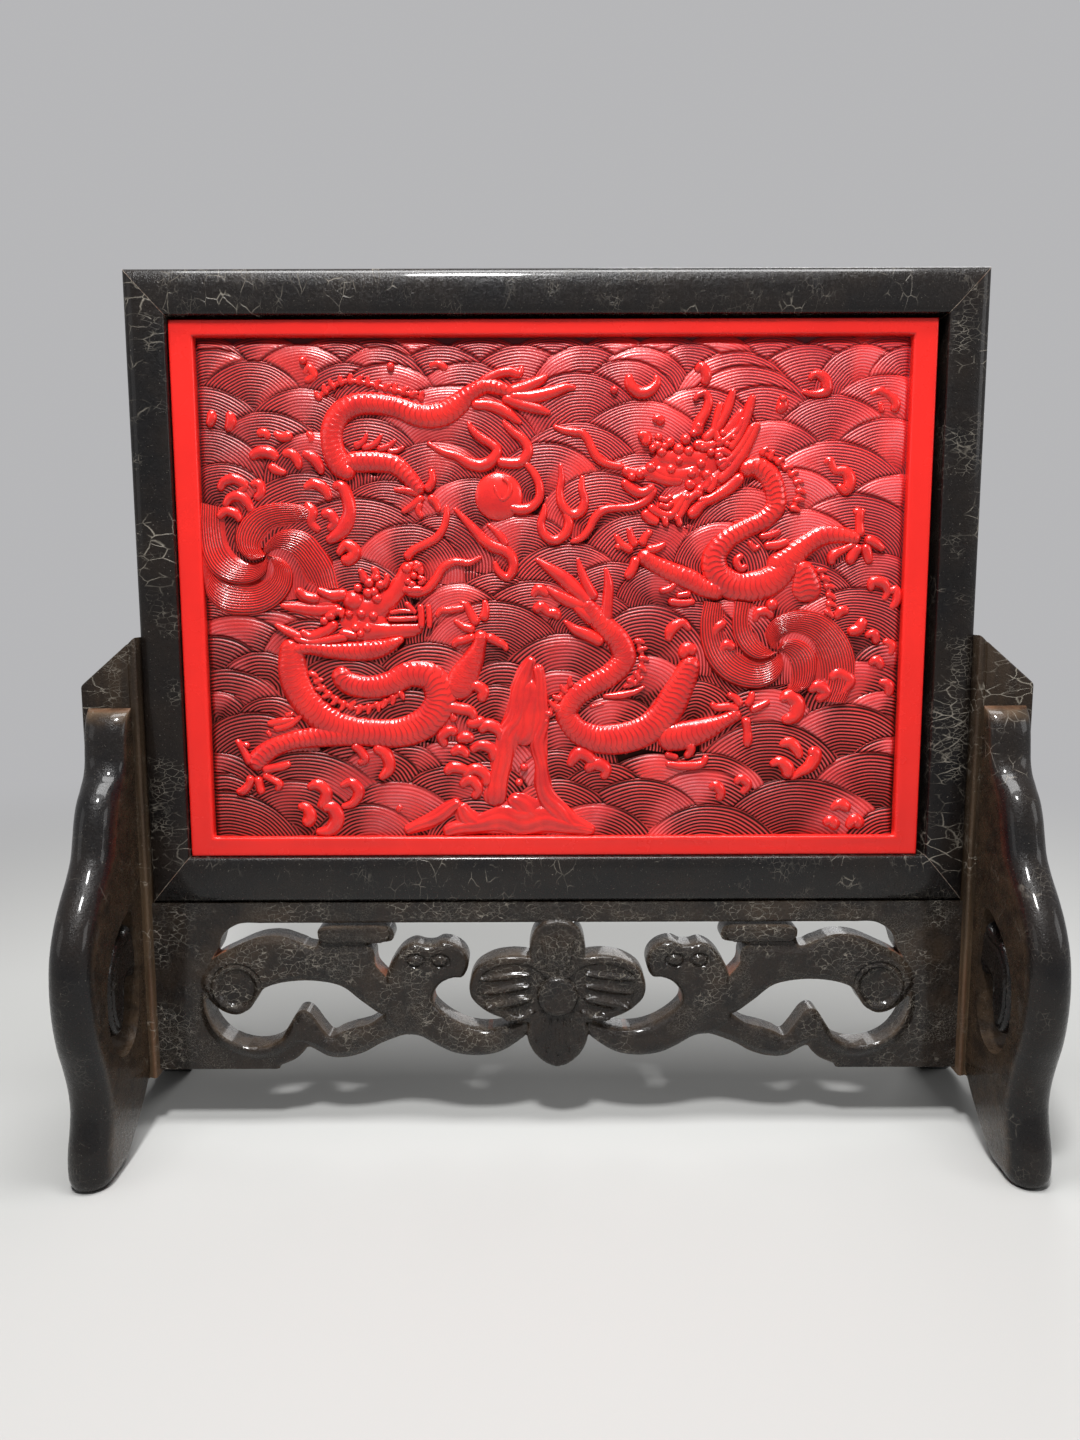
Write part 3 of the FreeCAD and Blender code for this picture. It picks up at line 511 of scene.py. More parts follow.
def piece(name, forms, finish, body, replaced=(), sharp=False):
    """A finished object from forms in mm. Points on the same spot become one, quads that lose a corner
    become triangles, and those that lose more are dropped."""
    points, quads, tones = joined(forms)
    first, quads = welded(points, quads)
    kept = quads != np.roll(quads, 1, axis=1)
    whole = kept.sum(1) > 2
    quads, kept = quads[whole], kept[whole]
    counts = kept.sum(1)
    mesh = bpy.data.meshes.new(name)
    mesh.vertices.add(len(first))
    mesh.vertices.foreach_set("co", (points[first] * MM).ravel())
    mesh.loops.add(int(counts.sum()))
    mesh.loops.foreach_set("vertex_index", quads[kept].astype(np.int32))
    mesh.polygons.add(len(counts))
    mesh.polygons.foreach_set("loop_start", np.concatenate(([0], np.cumsum(counts)[:-1])).astype(np.int32))
    tone = mesh.attributes.new("tone", "FLOAT", "POINT")
    tone.data.foreach_set("value", tones[first].astype(np.float32))
    mesh.update(calc_edges=True)
    mesh.validate()
    mesh.shade_smooth()
    if sharp:
        mesh.set_sharp_from_angle(angle=SHARP)
    mesh.materials.append(finish)
    made = bpy.data.objects.new(name, mesh)
    bpy.context.scene.collection.objects.link(made)
    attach(made, body)
    if replaced:
        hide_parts(*replaced)
    print(name, "has", int((counts - 2).sum()), "triangles")


# %% [markdown]
# ## The frame
# The members of the frame have a pillowed face that rolls over softly at the outside and more
# tightly at the opening. A bar with a bevel would show two flats and a strip of light between them.
# So a section built from quarter superellipses, |x|^n + |y|^n = 1, is carried along each side of the
# frame, and every point of it ends on the mitre, because the corner moves outwards by both widths.

# %% Frame members
FRAME_HALF, FRAME_LOW, FRAME_HIGH = 199.7, 116.5, 416.1
STILE_FACE, TOP_FACE, BOTTOM_FACE = 19.2, 20.8, 23.0
FRAME_FRONT, FRAME_BACK = -12.0, 11.95
TONGUE_INNER, TONGUE_OUTER, TONGUE_HALF, TONGUE_LOW, TONGUE_HIGH = 199.0, 204.7, 3.0, 116.5, 243.0
# The crown lies at this share of the way outwards. Depth and power of the rolls beside it:
CROWN_SHARE = 0.46
INNER_ROLL, OUTER_ROLL = (2.8, 3.6), (5.2, 2.5)
FACE_DEEPER, WAVE_FADE = 0.15, 6  # room for the wave, and the depth over which it fades out
MITRE_SPLIT = 3.0  # wear at the mitres, so high that the split shows up to the next ring


def quarter(width, roll, start, end, count):
    """A quarter superellipse about the crown, from the start angle to the end angle in degrees."""
    depth, power = roll
    q = np.radians(np.linspace(start, end, count))
    across = np.sign(np.cos(q)) * np.abs(np.cos(q)) ** (2 / power)
    rise = depth * np.abs(np.sin(q)) ** (2 / power)
    return np.column_stack((CROWN_SHARE + width * across, FRAME_FRONT + depth - rise))


def member_section():
    """The section as (share of the way outwards, y), from the opening over the crown and round the back."""
    return np.vstack((
        quarter(CROWN_SHARE, INNER_ROLL, 180, 90, 12),
        quarter(1 - CROWN_SHARE, OUTER_ROLL, 90, 0, 16)[1:],
        ((1.0, FRAME_BACK - 1.2), (0.985, FRAME_BACK - 0.35), (0.94, FRAME_BACK)),
        ((0.06, FRAME_BACK), (0.015, FRAME_BACK - 0.3), (0.0, FRAME_BACK - 1.2)),
    ))


def frame_member(side):
    """One side of the frame, counted from the bottom one against the clock. A slow wave of a tenth of a
    millimetre keeps the long reflections from looking ruled."""
    section = member_section()
    s, y = section[:, 0][None], section[:, 1][None]
    near = np.array((0.0, 0.0004, 0.003, 0.006))
    t = np.concatenate((near, np.linspace(0.012, 0.988, 90), 1 - near[::-1]))[:, None]
    x0, x1 = -FRAME_HALF + STILE_FACE * (1 - s), FRAME_HALF - STILE_FACE * (1 - s)
    z0, z1 = FRAME_LOW + BOTTOM_FACE * (1 - s), FRAME_HIGH - TOP_FACE * (1 - s)
    x = (x0 + (x1 - x0) * t, x1 + 0 * t, x1 - (x1 - x0) * t, x0 + 0 * t)[side]
    z = (z0 + 0 * t, z0 + (z1 - z0) * t, z1 + 0 * t, z1 - (z1 - z0) * t)[side]
    front = np.clip((FRAME_FRONT + WAVE_FADE - y) / WAVE_FADE, 0, 1)
    wave = 0.10 * np.sin(x / 13.0 + side) * np.cos(z / 17.0) + 0.05 * np.sin(x / 4.1) * np.sin(z / 5.3 + side)
    y = y + (FACE_DEEPER + wave) * front
    points = np.stack((x, y, z), -1)
    ends = [np.broadcast_to(points[k].mean(0), (1, *points.shape[1:])) for k in (0, -1)]
    points = np.concatenate((ends[0], points, ends[1]))
    split = np.zeros(points.shape[:2])
    split[:2] = split[-2:] = MITRE_SPLIT
    return outward((points.reshape(-1, 3), grid_quads(*points.shape[:2], wrap=True), split.ravel()))


def bar(x0, x1, y0, y1, z0, z1):
    """A plain closed block between two corners."""
    corners = np.array([(x, y, z) for x in (x0, x1) for y in (y0, y1) for z in (z0, z1)], float)
    faces = np.array(((0, 1, 3, 2), (4, 6, 7, 5), (0, 4, 5, 1), (2, 3, 7, 6), (0, 2, 6, 4), (1, 5, 7, 3)))
    return outward((corners, faces, np.zeros(8)))


MEMBERS = ("frame_bottom_rail", "frame_right_stile", "frame_top_rail", "frame_left_stile")
for side, node in enumerate(MEMBERS):
    forms, finish = [frame_member(side)], rail_black
    if side in (1, 3):
        ends = sorted(((2 - side) * TONGUE_INNER, (2 - side) * TONGUE_OUTER))
        forms.append(bar(*ends, -TONGUE_HALF, TONGUE_HALF, TONGUE_LOW, TONGUE_HIGH))
        finish = stile_black
    piece(node + "_shaped", forms, finish, "screen", [node], sharp=True)

# %% [markdown]
# ## From the photograph to the plaque
# The carving has no drawing, so its lines are placed by their pixels in the photograph. The
# field inside the plaque's border is a rectangle, seen in perspective as a slightly tapered one.
# The map between the two is a homography: eight numbers that carry the four corners over, and
# every line between them stays straight. Heights are then given in millimetres above the ground.

# %% The field and its map
BORDER_SIDE, BORDER_TOP, BORDER_BOTTOM = 11.3, 7.4, 9.6
CARVING_DEPTH = 5.5
plaque_low, plaque_high = (np.array(corner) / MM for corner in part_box("carved_lacquer"))
BORDER_FRONT = plaque_low[1]
GROUND = BORDER_FRONT + CARVING_DEPTH
FIELD_LEFT, FIELD_RIGHT = plaque_low[0] + BORDER_SIDE, plaque_high[0] - BORDER_SIDE
FIELD_LOW, FIELD_HIGH = plaque_low[2] + BORDER_BOTTOM, plaque_high[2] - BORDER_TOP
FIELD_CORNERS_PX = ((192.5, 334.7), (912.0, 334.7), (890.0, 836.0), (207.0, 836.0))
FIELD_CORNERS = (
    (FIELD_LEFT, FIELD_HIGH),
    (FIELD_RIGHT, FIELD_HIGH),
    (FIELD_RIGHT, FIELD_LOW),
    (FIELD_LEFT, FIELD_LOW),
)
FIELD_MIDDLE_PX = 701.0  # width of the field half way up
MM_PER_PX = (FIELD_RIGHT - FIELD_LEFT) / FIELD_MIDDLE_PX
RELIEF_PARALLAX = 1.006


def homography(seen, real):
    """The eight numbers of the map that carries four seen points to four real ones."""
    rows, sides = [], []
    for (u, v), (x, z) in zip(seen, real):
        rows += [(u, v, 1, 0, 0, 0, -x * u, -x * v), (0, 0, 0, u, v, 1, -z * u, -z * v)]
        sides += [x, z]
    return np.append(np.linalg.solve(np.array(rows), np.array(sides)), 1).reshape(3, 3)


PIXEL_MAP = homography(FIELD_CORNERS_PX, FIELD_CORNERS)
VIEW_CENTRE = np.array((CAMERA_PLACE_MM[0], CAMERA_PLACE_MM[2]))


def to_plaque(places):
    """Pixels of the photograph to x and z on the plaque, spread a little because the relief lies deeper."""
    places = np.asarray(places, float)
    flat = np.column_stack((places[:, :2], np.ones(len(places)))) @ PIXEL_MAP.T
    return VIEW_CENTRE + (flat[:, :2] / flat[:, 2:] - VIEW_CENTRE) * RELIEF_PARALLAX


def raised(x, z, height):
    """Points at a height above the ground of the carving."""
    return np.stack((x, GROUND - height, z), -1)


print("field", round(FIELD_RIGHT - FIELD_LEFT, 1), "x", round(FIELD_HIGH - FIELD_LOW, 1), "mm")

# %% [markdown]
# ## The border of the plaque
# The border is a flat band left standing round the field, with both its edges rubbed round. It
# could be a cube with a hole and a bevel. Here a profile is carried round a rectangle: from the
# ground up the inner wall, across the band and down the outer side. The flat sags by a hair, so
# that its reflection wanders as it does on a surface that was levelled by hand.

# %% Border, ground and sides
INNER_EDGE, OUTER_EDGE = 1.5, 1.0
BORDER_SAG, BORDER_DEEPER = 0.12, 0.05
BORDER_BURIED = -0.6


def quarter_round(x, y, radius, start, turn=90):
    """Six points of an arc about x, y, from the start angle on, in degrees."""
    a = np.radians(np.linspace(start, start + turn, 6))
    return np.column_stack((x + radius * np.cos(a), y + radius * np.sin(a)))


def border_ring():
    """The profile (share of the way outwards, height) is carried round the field. A corner of the loop
    lies on its mitre, because the two sides there move outwards by their own widths."""
    start, end = INNER_EDGE, BORDER_SIDE - OUTER_EDGE
    inner = quarter_round(start, CARVING_DEPTH - INNER_EDGE, INNER_EDGE, 180, -90)
    outer = quarter_round(end, CARVING_DEPTH - OUTER_EDGE, OUTER_EDGE, 90, -90)
    flat = np.linspace(start, end, 9)[1:-1]
    hollow = CARVING_DEPTH - BORDER_SAG * np.sin(np.pi * (flat - start) / (end - start)) ** 2
    low = GROUND - plaque_high[1]
    ends = (0, BORDER_BURIED), (BORDER_SIDE, low)
    profile = np.vstack((ends[0], inner, np.column_stack((flat, hollow)), outer, ends[1]))
    along = 90
    t = np.linspace(0, 1, along, endpoint=False)
    side = np.repeat(np.arange(4), along)
    t = np.tile(t, 4)
    out = profile[:, 0][None] / BORDER_SIDE
    x0, x1 = FIELD_LEFT - BORDER_SIDE * out, FIELD_RIGHT + BORDER_SIDE * out
    z0, z1 = FIELD_LOW - BORDER_BOTTOM * out, FIELD_HIGH + BORDER_TOP * out
    t = t[:, None]
    on_side = [side[:, None] == k for k in range(4)]
    x = np.select(on_side, (x0 + (x1 - x0) * t, x1, x1 - (x1 - x0) * t, x0))
    z = np.select(on_side, (z0, z0 + (z1 - z0) * t, z1, z1 - (z1 - z0) * t))
    wave = 0.10 * np.sin(x / 17.0 + 1.3) * np.sin(z / 23.0 + x / 61.0)
    wave = wave + 0.05 * np.sin(x / 6.1) * np.sin(z / 7.3)
    height = profile[:, 1][None] + wave * np.sin(np.pi * np.clip(out, 0, 1)) - BORDER_DEEPER
    points = raised(x, z, height).reshape(-1, 3)
    count = len(profile)
    rows = np.vstack((points, points[:count]))
    return rows, grid_quads(4 * along + 1, count), np.ones(len(rows))


def plate(height, low, high):
    """A flat sheet that faces the front, over the rectangle between two corners (x, z)."""
    x, z = np.meshgrid(np.linspace(low[0], high[0], 12), np.linspace(low[1], high[1], 9), indexing="ij")
    points = raised(x, z, np.full(x.shape, height)).reshape(-1, 3)
    return facing_front((points, grid_quads(12, 9), np.zeros(len(points))))


def carving(name, forms, finish, replaced=()):
    """A piece of the plaque's coat of red lacquer."""
    piece(name, forms, finish, "screen", replaced)


points, quads, tones = plate(GROUND - plaque_high[1], plaque_low[[0, 2]], plaque_high[[0, 2]])
coat = [facing_front(border_ring()), (points, quads[:, ::-1], tones)]
carving("plaque_border", coat, red_border, ["carved_lacquer"])
GROUND_MARGIN = 2.0
field_low, field_high = np.array((FIELD_LEFT, FIELD_LOW)), np.array((FIELD_RIGHT, FIELD_HIGH))
carving("plaque_ground", [plate(0.0, field_low - GROUND_MARGIN, field_high + GROUND_MARGIN)], red_sea)

# %% [markdown]
# ## The sea
# Round hills of water overlap like roof tiles, each cut with grooves that run along its rim. A
# height map over the whole field would need millions of points to keep the grooves clean. So each
# hill is a grid of its own in polar coordinates, one parameter round its centre and one inwards
# from its rim, and the grooves are simply lines of that grid. Hills further down the plaque lie in
# front. A point that is under a nearer hill is pushed down, and quads far under one are left out.

# %% Hills of the sea: apex and radius, in pixels of the photograph
HILLS_PX = (
    (212, 346, 50), (300, 343, 64), (378, 345, 52), (440, 344, 58), (520, 344, 62), (583, 344, 55),
    (640, 346, 52), (690, 343, 50), (735, 350, 62), (805, 344, 62), (862, 344, 48), (908, 345, 42),
    (250, 358, 57), (345, 361, 50), (385, 361, 60), (465, 360, 60), (575, 370, 70), (625, 358, 55),
    (745, 364, 72), (885, 374, 62), (200, 384, 62), (300, 386, 56), (450, 383, 96), (640, 399, 76),
    (700, 386, 60), (832, 394, 66), (762, 384, 60), (265, 409, 60), (365, 416, 55), (575, 421, 70),
    (770, 419, 62), (885, 417, 62), (205, 426, 62), (220, 460, 50), (310, 430, 50), (832, 440, 78),
    (640, 452, 66), (300, 471, 66), (545, 440, 58), (385, 478, 58), (430, 440, 60), (790, 466, 58),
    (893, 474, 62), (352, 494, 92), (405, 521, 55), (470, 476, 56), (852, 492, 76), (745, 486, 60),
    (700, 470, 50), (600, 470, 64), (520, 512, 60), (440, 512, 52), (640, 512, 62), (720, 520, 50),
    (800, 508, 60), (565, 540, 62), (455, 582, 52), (530, 578, 66), (610, 560, 56), (872, 552, 64),
    (350, 556, 56), (660, 560, 50), (490, 598, 76), (560, 632, 70), (645, 604, 62), (590, 590, 50),
    (858, 586, 86), (690, 600, 52), (800, 560, 60), (232, 612, 72), (212, 632, 52), (255, 649, 46),
    (222, 666, 62), (266, 694, 42), (212, 688, 34), (492, 682, 50), (425, 640, 62), (610, 695, 50),
    (690, 680, 46), (555, 668, 50), (640, 655, 50), (860, 660, 60), (888, 640, 40), (880, 690, 44),
    (250, 709, 66), (842, 703, 76), (765, 720, 82), (888, 736, 50), (650, 754, 62), (600, 762, 52),
    (704, 752, 62), (210, 750, 52), (300, 749, 88), (400, 742, 44), (445, 740, 52), (445, 764, 62),
    (868, 751, 70), (700, 768, 72), (635, 777, 76), (553, 778, 60), (215, 770, 44), (480, 760, 50),
    (286, 777, 72), (390, 780, 72), (215, 788, 86), (797, 778, 98), (590, 802, 66), (706, 803, 78),
    (360, 801, 62), (890, 808, 56), (470, 796, 52),
    (205, 336, 50), (262, 335, 56), (335, 336, 56), (410, 335, 60), (480, 336, 56), (552, 335, 60),
    (614, 336, 50), (665, 336, 54), (770, 335, 60), (835, 336, 50), (890, 336, 50),
    (203, 588, 60), (282, 598, 62), (262, 606, 58), (306, 616, 52), (340, 652, 62), (374, 688, 52),
    (404, 688, 50), (500, 660, 46), (350, 740, 60), (556, 716, 56), (552, 748, 46), (760, 688, 60),
    (728, 598, 50), (566, 690, 56), (716, 335, 50), (872, 335, 46), (372, 335, 52), (494, 571, 50),
    (486, 727, 50), (345, 616, 50), (372, 746, 50),
)
FINE_PITCH, WIDE_PITCH = 1.38, 1.66
WIDE_BELOW = 262.0
GROOVE_DEPTH = 0.38
HILL_LOW, HILL_RISE = 0.35, 2.75
HILL_CREST = 0.20
HILL_SPREAD = np.radians(100)
HILL_DEPTH_SHARE, HILL_DEPTH_MOST = 0.94, 34.0
HILL_STRETCH = 1.06
HILLS_PER_PIECE = 24
STEPS_PER_GROOVE = 5
# Outside its rim a sheet ends in a skirt of three rows. How far they lie inwards, their shares of the
# height of the rim, and their tones. The outermost row goes down into the ground.
SKIRT, SKIRT_SHARES, SKIRT_TONES = (-0.55, -0.45, -0.2), (0.0, 0.55, 0.9), (0.0, 0.1, 0.5)
SKIRT_LOW = -0.6
COLUMN_WIDTH = 1.25
DITCH_SIDE, DITCH_TOP = 2.5, 5.0  # width of the ditch along the sides and the top of the border
SINK, SINK_OVER = 2.6, 0.9  # depth of a hill under a nearer one, and over what distance it sinks
COVERED = 1.2
OFF_FIELD = 1.0
NOWHERE = -9.0


def ridge(place):
    """1 on the round top of a ridge and 0 in the narrow groove at each whole number."""
    return 1 - np.abs(np.cos(np.pi * place)) ** 2.4


def shell(share):
    """The back of a wave from its rim (0) to its foot (1): it rises from 0.5 to 1 at the crest, and then
    falls as a parabola."""
    before = 1 - 0.5 * (1 - share / HILL_CREST) ** 2
    after = 1 - ((share - HILL_CREST) / (1 - HILL_CREST)) ** 2
    return np.where(share < HILL_CREST, before, after)


def soft(share):
    """0 below 0, 1 above 1, and between them the cubic that starts and ends level."""
    share = np.clip(share, 0, 1)
    return share * share * (3 - 2 * share)


def from_border(x, z):
    """Share of the way, 0 to 1, out of the ditch that is cut along the top and the sides of the border."""
    sides = np.minimum(x - FIELD_LEFT, FIELD_RIGHT - x) / DITCH_SIDE
    return soft(np.minimum(sides, (FIELD_HIGH - z) / DITCH_TOP))


def ordered_hills():
    """Rows of centre x, centre z, radius and depth, in mm, from the furthest hill to the nearest."""
    seen = np.array(sorted(HILLS_PX, key=lambda hill: hill[1]), float)
    apex = to_plaque(seen)
    radius = seen[:, 2] * MM_PER_PX
    depth = np.minimum(HILL_DEPTH_SHARE * radius, HILL_DEPTH_MOST)
    return np.column_stack((apex[:, 0], apex[:, 1] - radius, radius, depth))


def under_front_hills(x, z, front):
    """How far inside the nearest of the hills in front a point lies: radius less distance, at its largest."""
    if not len(front):
        return np.full(x.shape, NOWHERE)
    dx, dz = x[..., None] - front[:, 0], z[..., None] - front[:, 1]
    distance = np.hypot(dx, dz)
    inside = front[:, 2] - distance
    on_sheet = (dz > np.cos(HILL_SPREAD) * distance) & (inside < front[:, 3])
    return np.where(on_sheet, inside, NOWHERE).max(-1)


def hill(number, hills):
    """Height = low + rise * shell(inwards) * (1 - 0.4 * (share of the way round)^2) - groove. Outside
    the rim a skirt drops to the ground. Groove lines waver a little, as a knife does."""
    cx, cz, radius, depth = hills[number]
    pitch = WIDE_PITCH if cz + radius < WIDE_BELOW else FINE_PITCH
    inward = np.concatenate((SKIRT, np.arange(0, depth, pitch / STEPS_PER_GROOVE)))
    columns = max(int(2 * HILL_SPREAD * radius / COLUMN_WIDTH), 12)
    around = np.linspace(-HILL_SPREAD, HILL_SPREAD, columns)
    a, d = np.meshgrid(around, inward, indexing="ij")
    lean = 0.10 * np.sin(number * 2.4)
    waver = (0.5 * np.sin(3 * a + number) + 0.12 * np.sin(11 * a + 2.3 * number)) * np.clip(d / 6, 0, 1)
    out = radius - d + waver
    x = cx + out * np.sin(a) * HILL_STRETCH + lean * np.clip(d, 0, None)
    z = cz + out * np.cos(a)
    bend = np.clip(d, 0, None) / depth
    height = HILL_LOW + HILL_RISE * shell(bend) * (1 - 0.4 * (a / HILL_SPREAD) ** 2)
    tone = ridge(d / pitch)
    worn = soft(0.9 * np.sin(2.3 * a + 1.9 * number + 1.5 * bend) + 0.4 * np.cos(1.3 * number))
    worn = worn * soft(1.4 - bend)
    height = height - GROOVE_DEPTH * (1 - 0.6 * worn) * (1 - tone)
    # The last factor is painted shade: a hill is lightest at its crest and darker towards its rim and its
    # foot, and a little lighter where worn.
    tone = (1 - (1 - tone) * (1 - 0.72 * worn)) * (0.42 + 0.42 * shell(bend) + 0.12 * worn)
    height = height * (0.35 + 0.65 * from_border(x, z))
    # Painted shadow of the border: the tone falls in the ditch along its top and sides.
    tone = tone * (0.45 + 0.55 * from_border(x, z))
    height[:, :3] = np.minimum(height[:, 3:4] * SKIRT_SHARES, height[:, 3:4])
    height[:, 0] = SKIRT_LOW
    tone[:, :3] = SKIRT_TONES
    cover = under_front_hills(x, z, hills[number + 1:])
    sunk = np.clip(cover / SINK_OVER, 0, 1)
    height = height - SINK * soft(sunk)
    # Painted shade: a hill darkens where it sinks under a nearer one.
    tone = tone * (1 - 0.8 * sunk)
    quads = grid_quads(len(around), len(inward))
    hidden = cover.ravel()[quads].min(1) > COVERED
    px, pz = x.ravel()[quads], z.ravel()[quads]
    outside = (
        (px.max(1) < FIELD_LEFT - OFF_FIELD) | (px.min(1) > FIELD_RIGHT + OFF_FIELD)
        | (pz.max(1) < FIELD_LOW - OFF_FIELD) | (pz.min(1) > FIELD_HIGH + OFF_FIELD)
    )
    points = raised(x, z, height).reshape(-1, 3)
    return facing_front((points, quads[~(hidden | outside)], tone.ravel()))


hills = ordered_hills()
print(len(hills), "hills, radius", hills[:, 2].min().round(1), "to", hills[:, 2].max().round(1), "mm")
for start in range(0, len(hills), HILLS_PER_PIECE):
    forms = [hill(n, hills) for n in range(start, min(start + HILLS_PER_PIECE, len(hills)))]
    carving("sea_" + str(start // HILLS_PER_PIECE + 1), forms, red_sea)

# %% [markdown]
# ## The whirls
# Two whirls of water wind several grooved arms into an eye. An arm is a ruled sheet: one parameter runs
# along two drawn curves, its outer and its inner edge, and the other goes straight from one
# curve to the other. Its height is greatest at the outer edge, so each arm seems to slide under the
# next, and grooves run the whole length, drawing together towards the eye.

# %% Arms of the whirls: outer edge and inner edge, in pixels
WHIRL_ARMS_PX = (
    (((314, 508), (294, 502), (270, 501), (250, 508), (238, 520), (233, 536), (237, 550), (248, 558),
      (260, 556)),
     ((310, 524), (290, 526), (276, 528), (266, 536), (260, 542), (259, 547), (260, 550), (261, 552),
      (262, 553))),
    (((336, 586), (330, 562), (320, 546), (308, 532), (292, 527), (278, 529), (268, 536), (261, 546),
      (262, 553)),
     ((304, 588), (298, 578), (292, 568), (284, 558), (276, 552), (270, 551), (266, 551), (264, 552),
      (263, 553))),
    (((199, 556), (201, 578), (206, 598), (220, 610), (240, 613), (266, 608), (280, 598), (289, 582),
      (288, 566), (278, 556), (266, 553)),
     ((204, 548), (210, 562), (220, 572), (234, 578), (248, 580), (258, 576), (265, 568), (265, 560),
      (265, 556), (264, 555), (263, 554))),
    (((197, 500), (196, 530), (200, 556), (210, 572), (224, 580), (240, 582), (254, 578), (263, 570),
      (265, 560)),
     ((222, 506), (222, 526), (226, 544), (236, 556), (246, 560), (254, 560), (259, 558), (262, 556),
      (263, 554))),
    (((730, 600), (728, 619), (730, 637), (738, 650), (751, 658), (764, 657), (772, 652)),
     ((756, 604), (753, 618), (756, 632), (762, 642), (768, 648), (771, 650), (773, 651))),
    (((700, 600), (696, 621), (697, 641), (704, 661), (718, 677), (738, 686), (758, 687), (773, 679),
      (780, 666), (778, 654)),
     ((728, 604), (728, 621), (731, 638), (740, 651), (752, 658), (764, 657), (770, 655), (774, 653),
      (775, 652), (775, 651))),
    (((842, 702), (850, 684), (852, 664), (847, 643), (836, 626), (822, 614), (800, 609), (780, 613),
      (767, 621), (761, 634), (766, 646)),
     ((806, 700), (810, 682), (810, 666), (806, 652), (798, 643), (789, 639), (781, 640), (777, 643),
      (775, 646), (774, 648), (773, 650))),
    (((794, 692), (806, 686), (812, 672), (812, 655), (804, 643), (791, 638), (780, 640), (773, 649)),
     ((784, 688), (784, 680), (782, 672), (780, 664), (778, 658), (777, 655), (776, 653), (774, 651))),
)
WHIRL_EYES_PX = ((263, 554, 74), (771, 650, 82))
ARM_LOW, ARM_RISE = 1.0, 3.3
ARM_GROOVE = 1.3 * GROOVE_DEPTH
ARM_PLACES = 170
ARM_SKIRT, ARM_SKIRT_SHARES = (-0.6, -0.5, -0.2), (0.0, 0.6, 0.92)
FLOOR_LOW, FLOOR_RISE, FLOOR_SPOKES = 0.6, 0.5, 120


def cubic(start, end, start_slope, end_slope, u):
    """The cubic from the start to the end as u goes from 0 to 1, with the slopes given at both."""
    ease = soft(u)
    bend = start_slope * u * (1 - u) ** 2 - end_slope * u * u * (1 - u)
    return start * (1 - ease) + end * ease + bend


def smooth(places, step):
    """A smooth line through given places. Between two of them every column is the cubic whose
    slopes at both ends are the central differences over the distance. It is read at even steps."""
    places = np.asarray(places, float)
    gaps = np.hypot(*np.diff(places[:, :2], axis=0).T)
    at = np.concatenate(([0], np.cumsum(gaps)))
    slopes = np.gradient(places, at, axis=0)
    t = np.linspace(0, at[-1], max(int(round(at[-1] / step)), 3) + 1)
    i = np.clip(np.searchsorted(at, t, side="right") - 1, 0, len(gaps) - 1)
    u, span = ((t - at[i]) / gaps[i])[:, None], gaps[i][:, None]
    return cubic(places[i], places[i + 1], span * slopes[i], span * slopes[i + 1], u)


def even(line, count):
    """The same line read at a given number of evenly spaced places."""
    at = np.concatenate(([0], np.cumsum(np.hypot(*np.diff(line[:, :2], axis=0).T))))
    t = np.linspace(0, at[-1], count)
    return np.column_stack([np.interp(t, at, line[:, k]) for k in range(line.shape[1])])


def whirl_arm(outer_px, inner_px):
    """Height = low + rise * shell(inwards), less the grooves. A skirt closes the arm down outside."""
    outer, inner = (even(smooth(to_plaque(line), 1.0), ARM_PLACES) for line in (outer_px, inner_px))
    width = np.hypot(*(outer - inner).T)
    grooves = max(int(round(width.max() / FINE_PITCH)), 2)
    skirt = np.array(ARM_SKIRT) / max(width.max(), 1)
    share = np.concatenate((skirt, np.linspace(0, 1, grooves * STEPS_PER_GROOVE + 1)))[None]
    x = outer[:, :1] + (inner[:, :1] - outer[:, :1]) * share
    z = outer[:, 1:] + (inner[:, 1:] - outer[:, 1:]) * share
    shallow = np.clip(width / (0.55 * width.max()), 0.2, 1)[:, None]
    cut = soft((0.95 - share) / 0.20)
    tone = 1 - (1 - ridge(share * grooves)) * cut + 0 * x
    dome = shell(np.clip(share, 0, 1))
    height = (ARM_LOW + ARM_RISE * dome) * (0.75 + 0.25 * shallow) - ARM_GROOVE * (1 - tone) * shallow
    # Painted shade: an arm is lightest at its crest and darker away from it, most at its inner edge under the
    # next arm.
    tone = tone * (0.6 + 0.4 * dome)
    height[:, :3] = height[:, 3:4] * ARM_SKIRT_SHARES
    tone[:, :3] = SKIRT_TONES
    points = raised(x, z, height).reshape(-1, 3)
    return facing_front((points, grid_quads(len(outer), share.shape[1]), (0.05 + 0.95 * tone).ravel()))


def whirl_floor(eye_px):
    """A shallow bowl under the arms with six spiral grooves: ridge(distance / pitch + 3 * angle / pi)."""
    (cx, cz), radius = to_plaque([eye_px[:2]])[0], eye_px[2] * MM_PER_PX
    rings = int(radius / FINE_PITCH * STEPS_PER_GROOVE)
    spokes = np.linspace(0, 2 * np.pi, FLOOR_SPOKES, endpoint=False)
    far, a = np.meshgrid(np.linspace(0, radius, rings), spokes, indexing="ij")
    tone = ridge(far / FINE_PITCH + 3 * a / np.pi)
    height = FLOOR_LOW + FLOOR_RISE * far / radius - GROOVE_DEPTH * (1 - tone)
    height[-1] = -0.5
    points = raised(cx + far * np.cos(a), cz + far * np.sin(a), height).reshape(-1, 3)
    return facing_front((points, grid_quads(rings, FLOOR_SPOKES, wrap=True), (0.8 * tone).ravel()))


carving("whirls", [whirl_arm(*arm) for arm in WHIRL_ARMS_PX], red_relief)
carving("whirl_floors", [whirl_floor(eye) for eye in WHIRL_EYES_PX], red_sea)

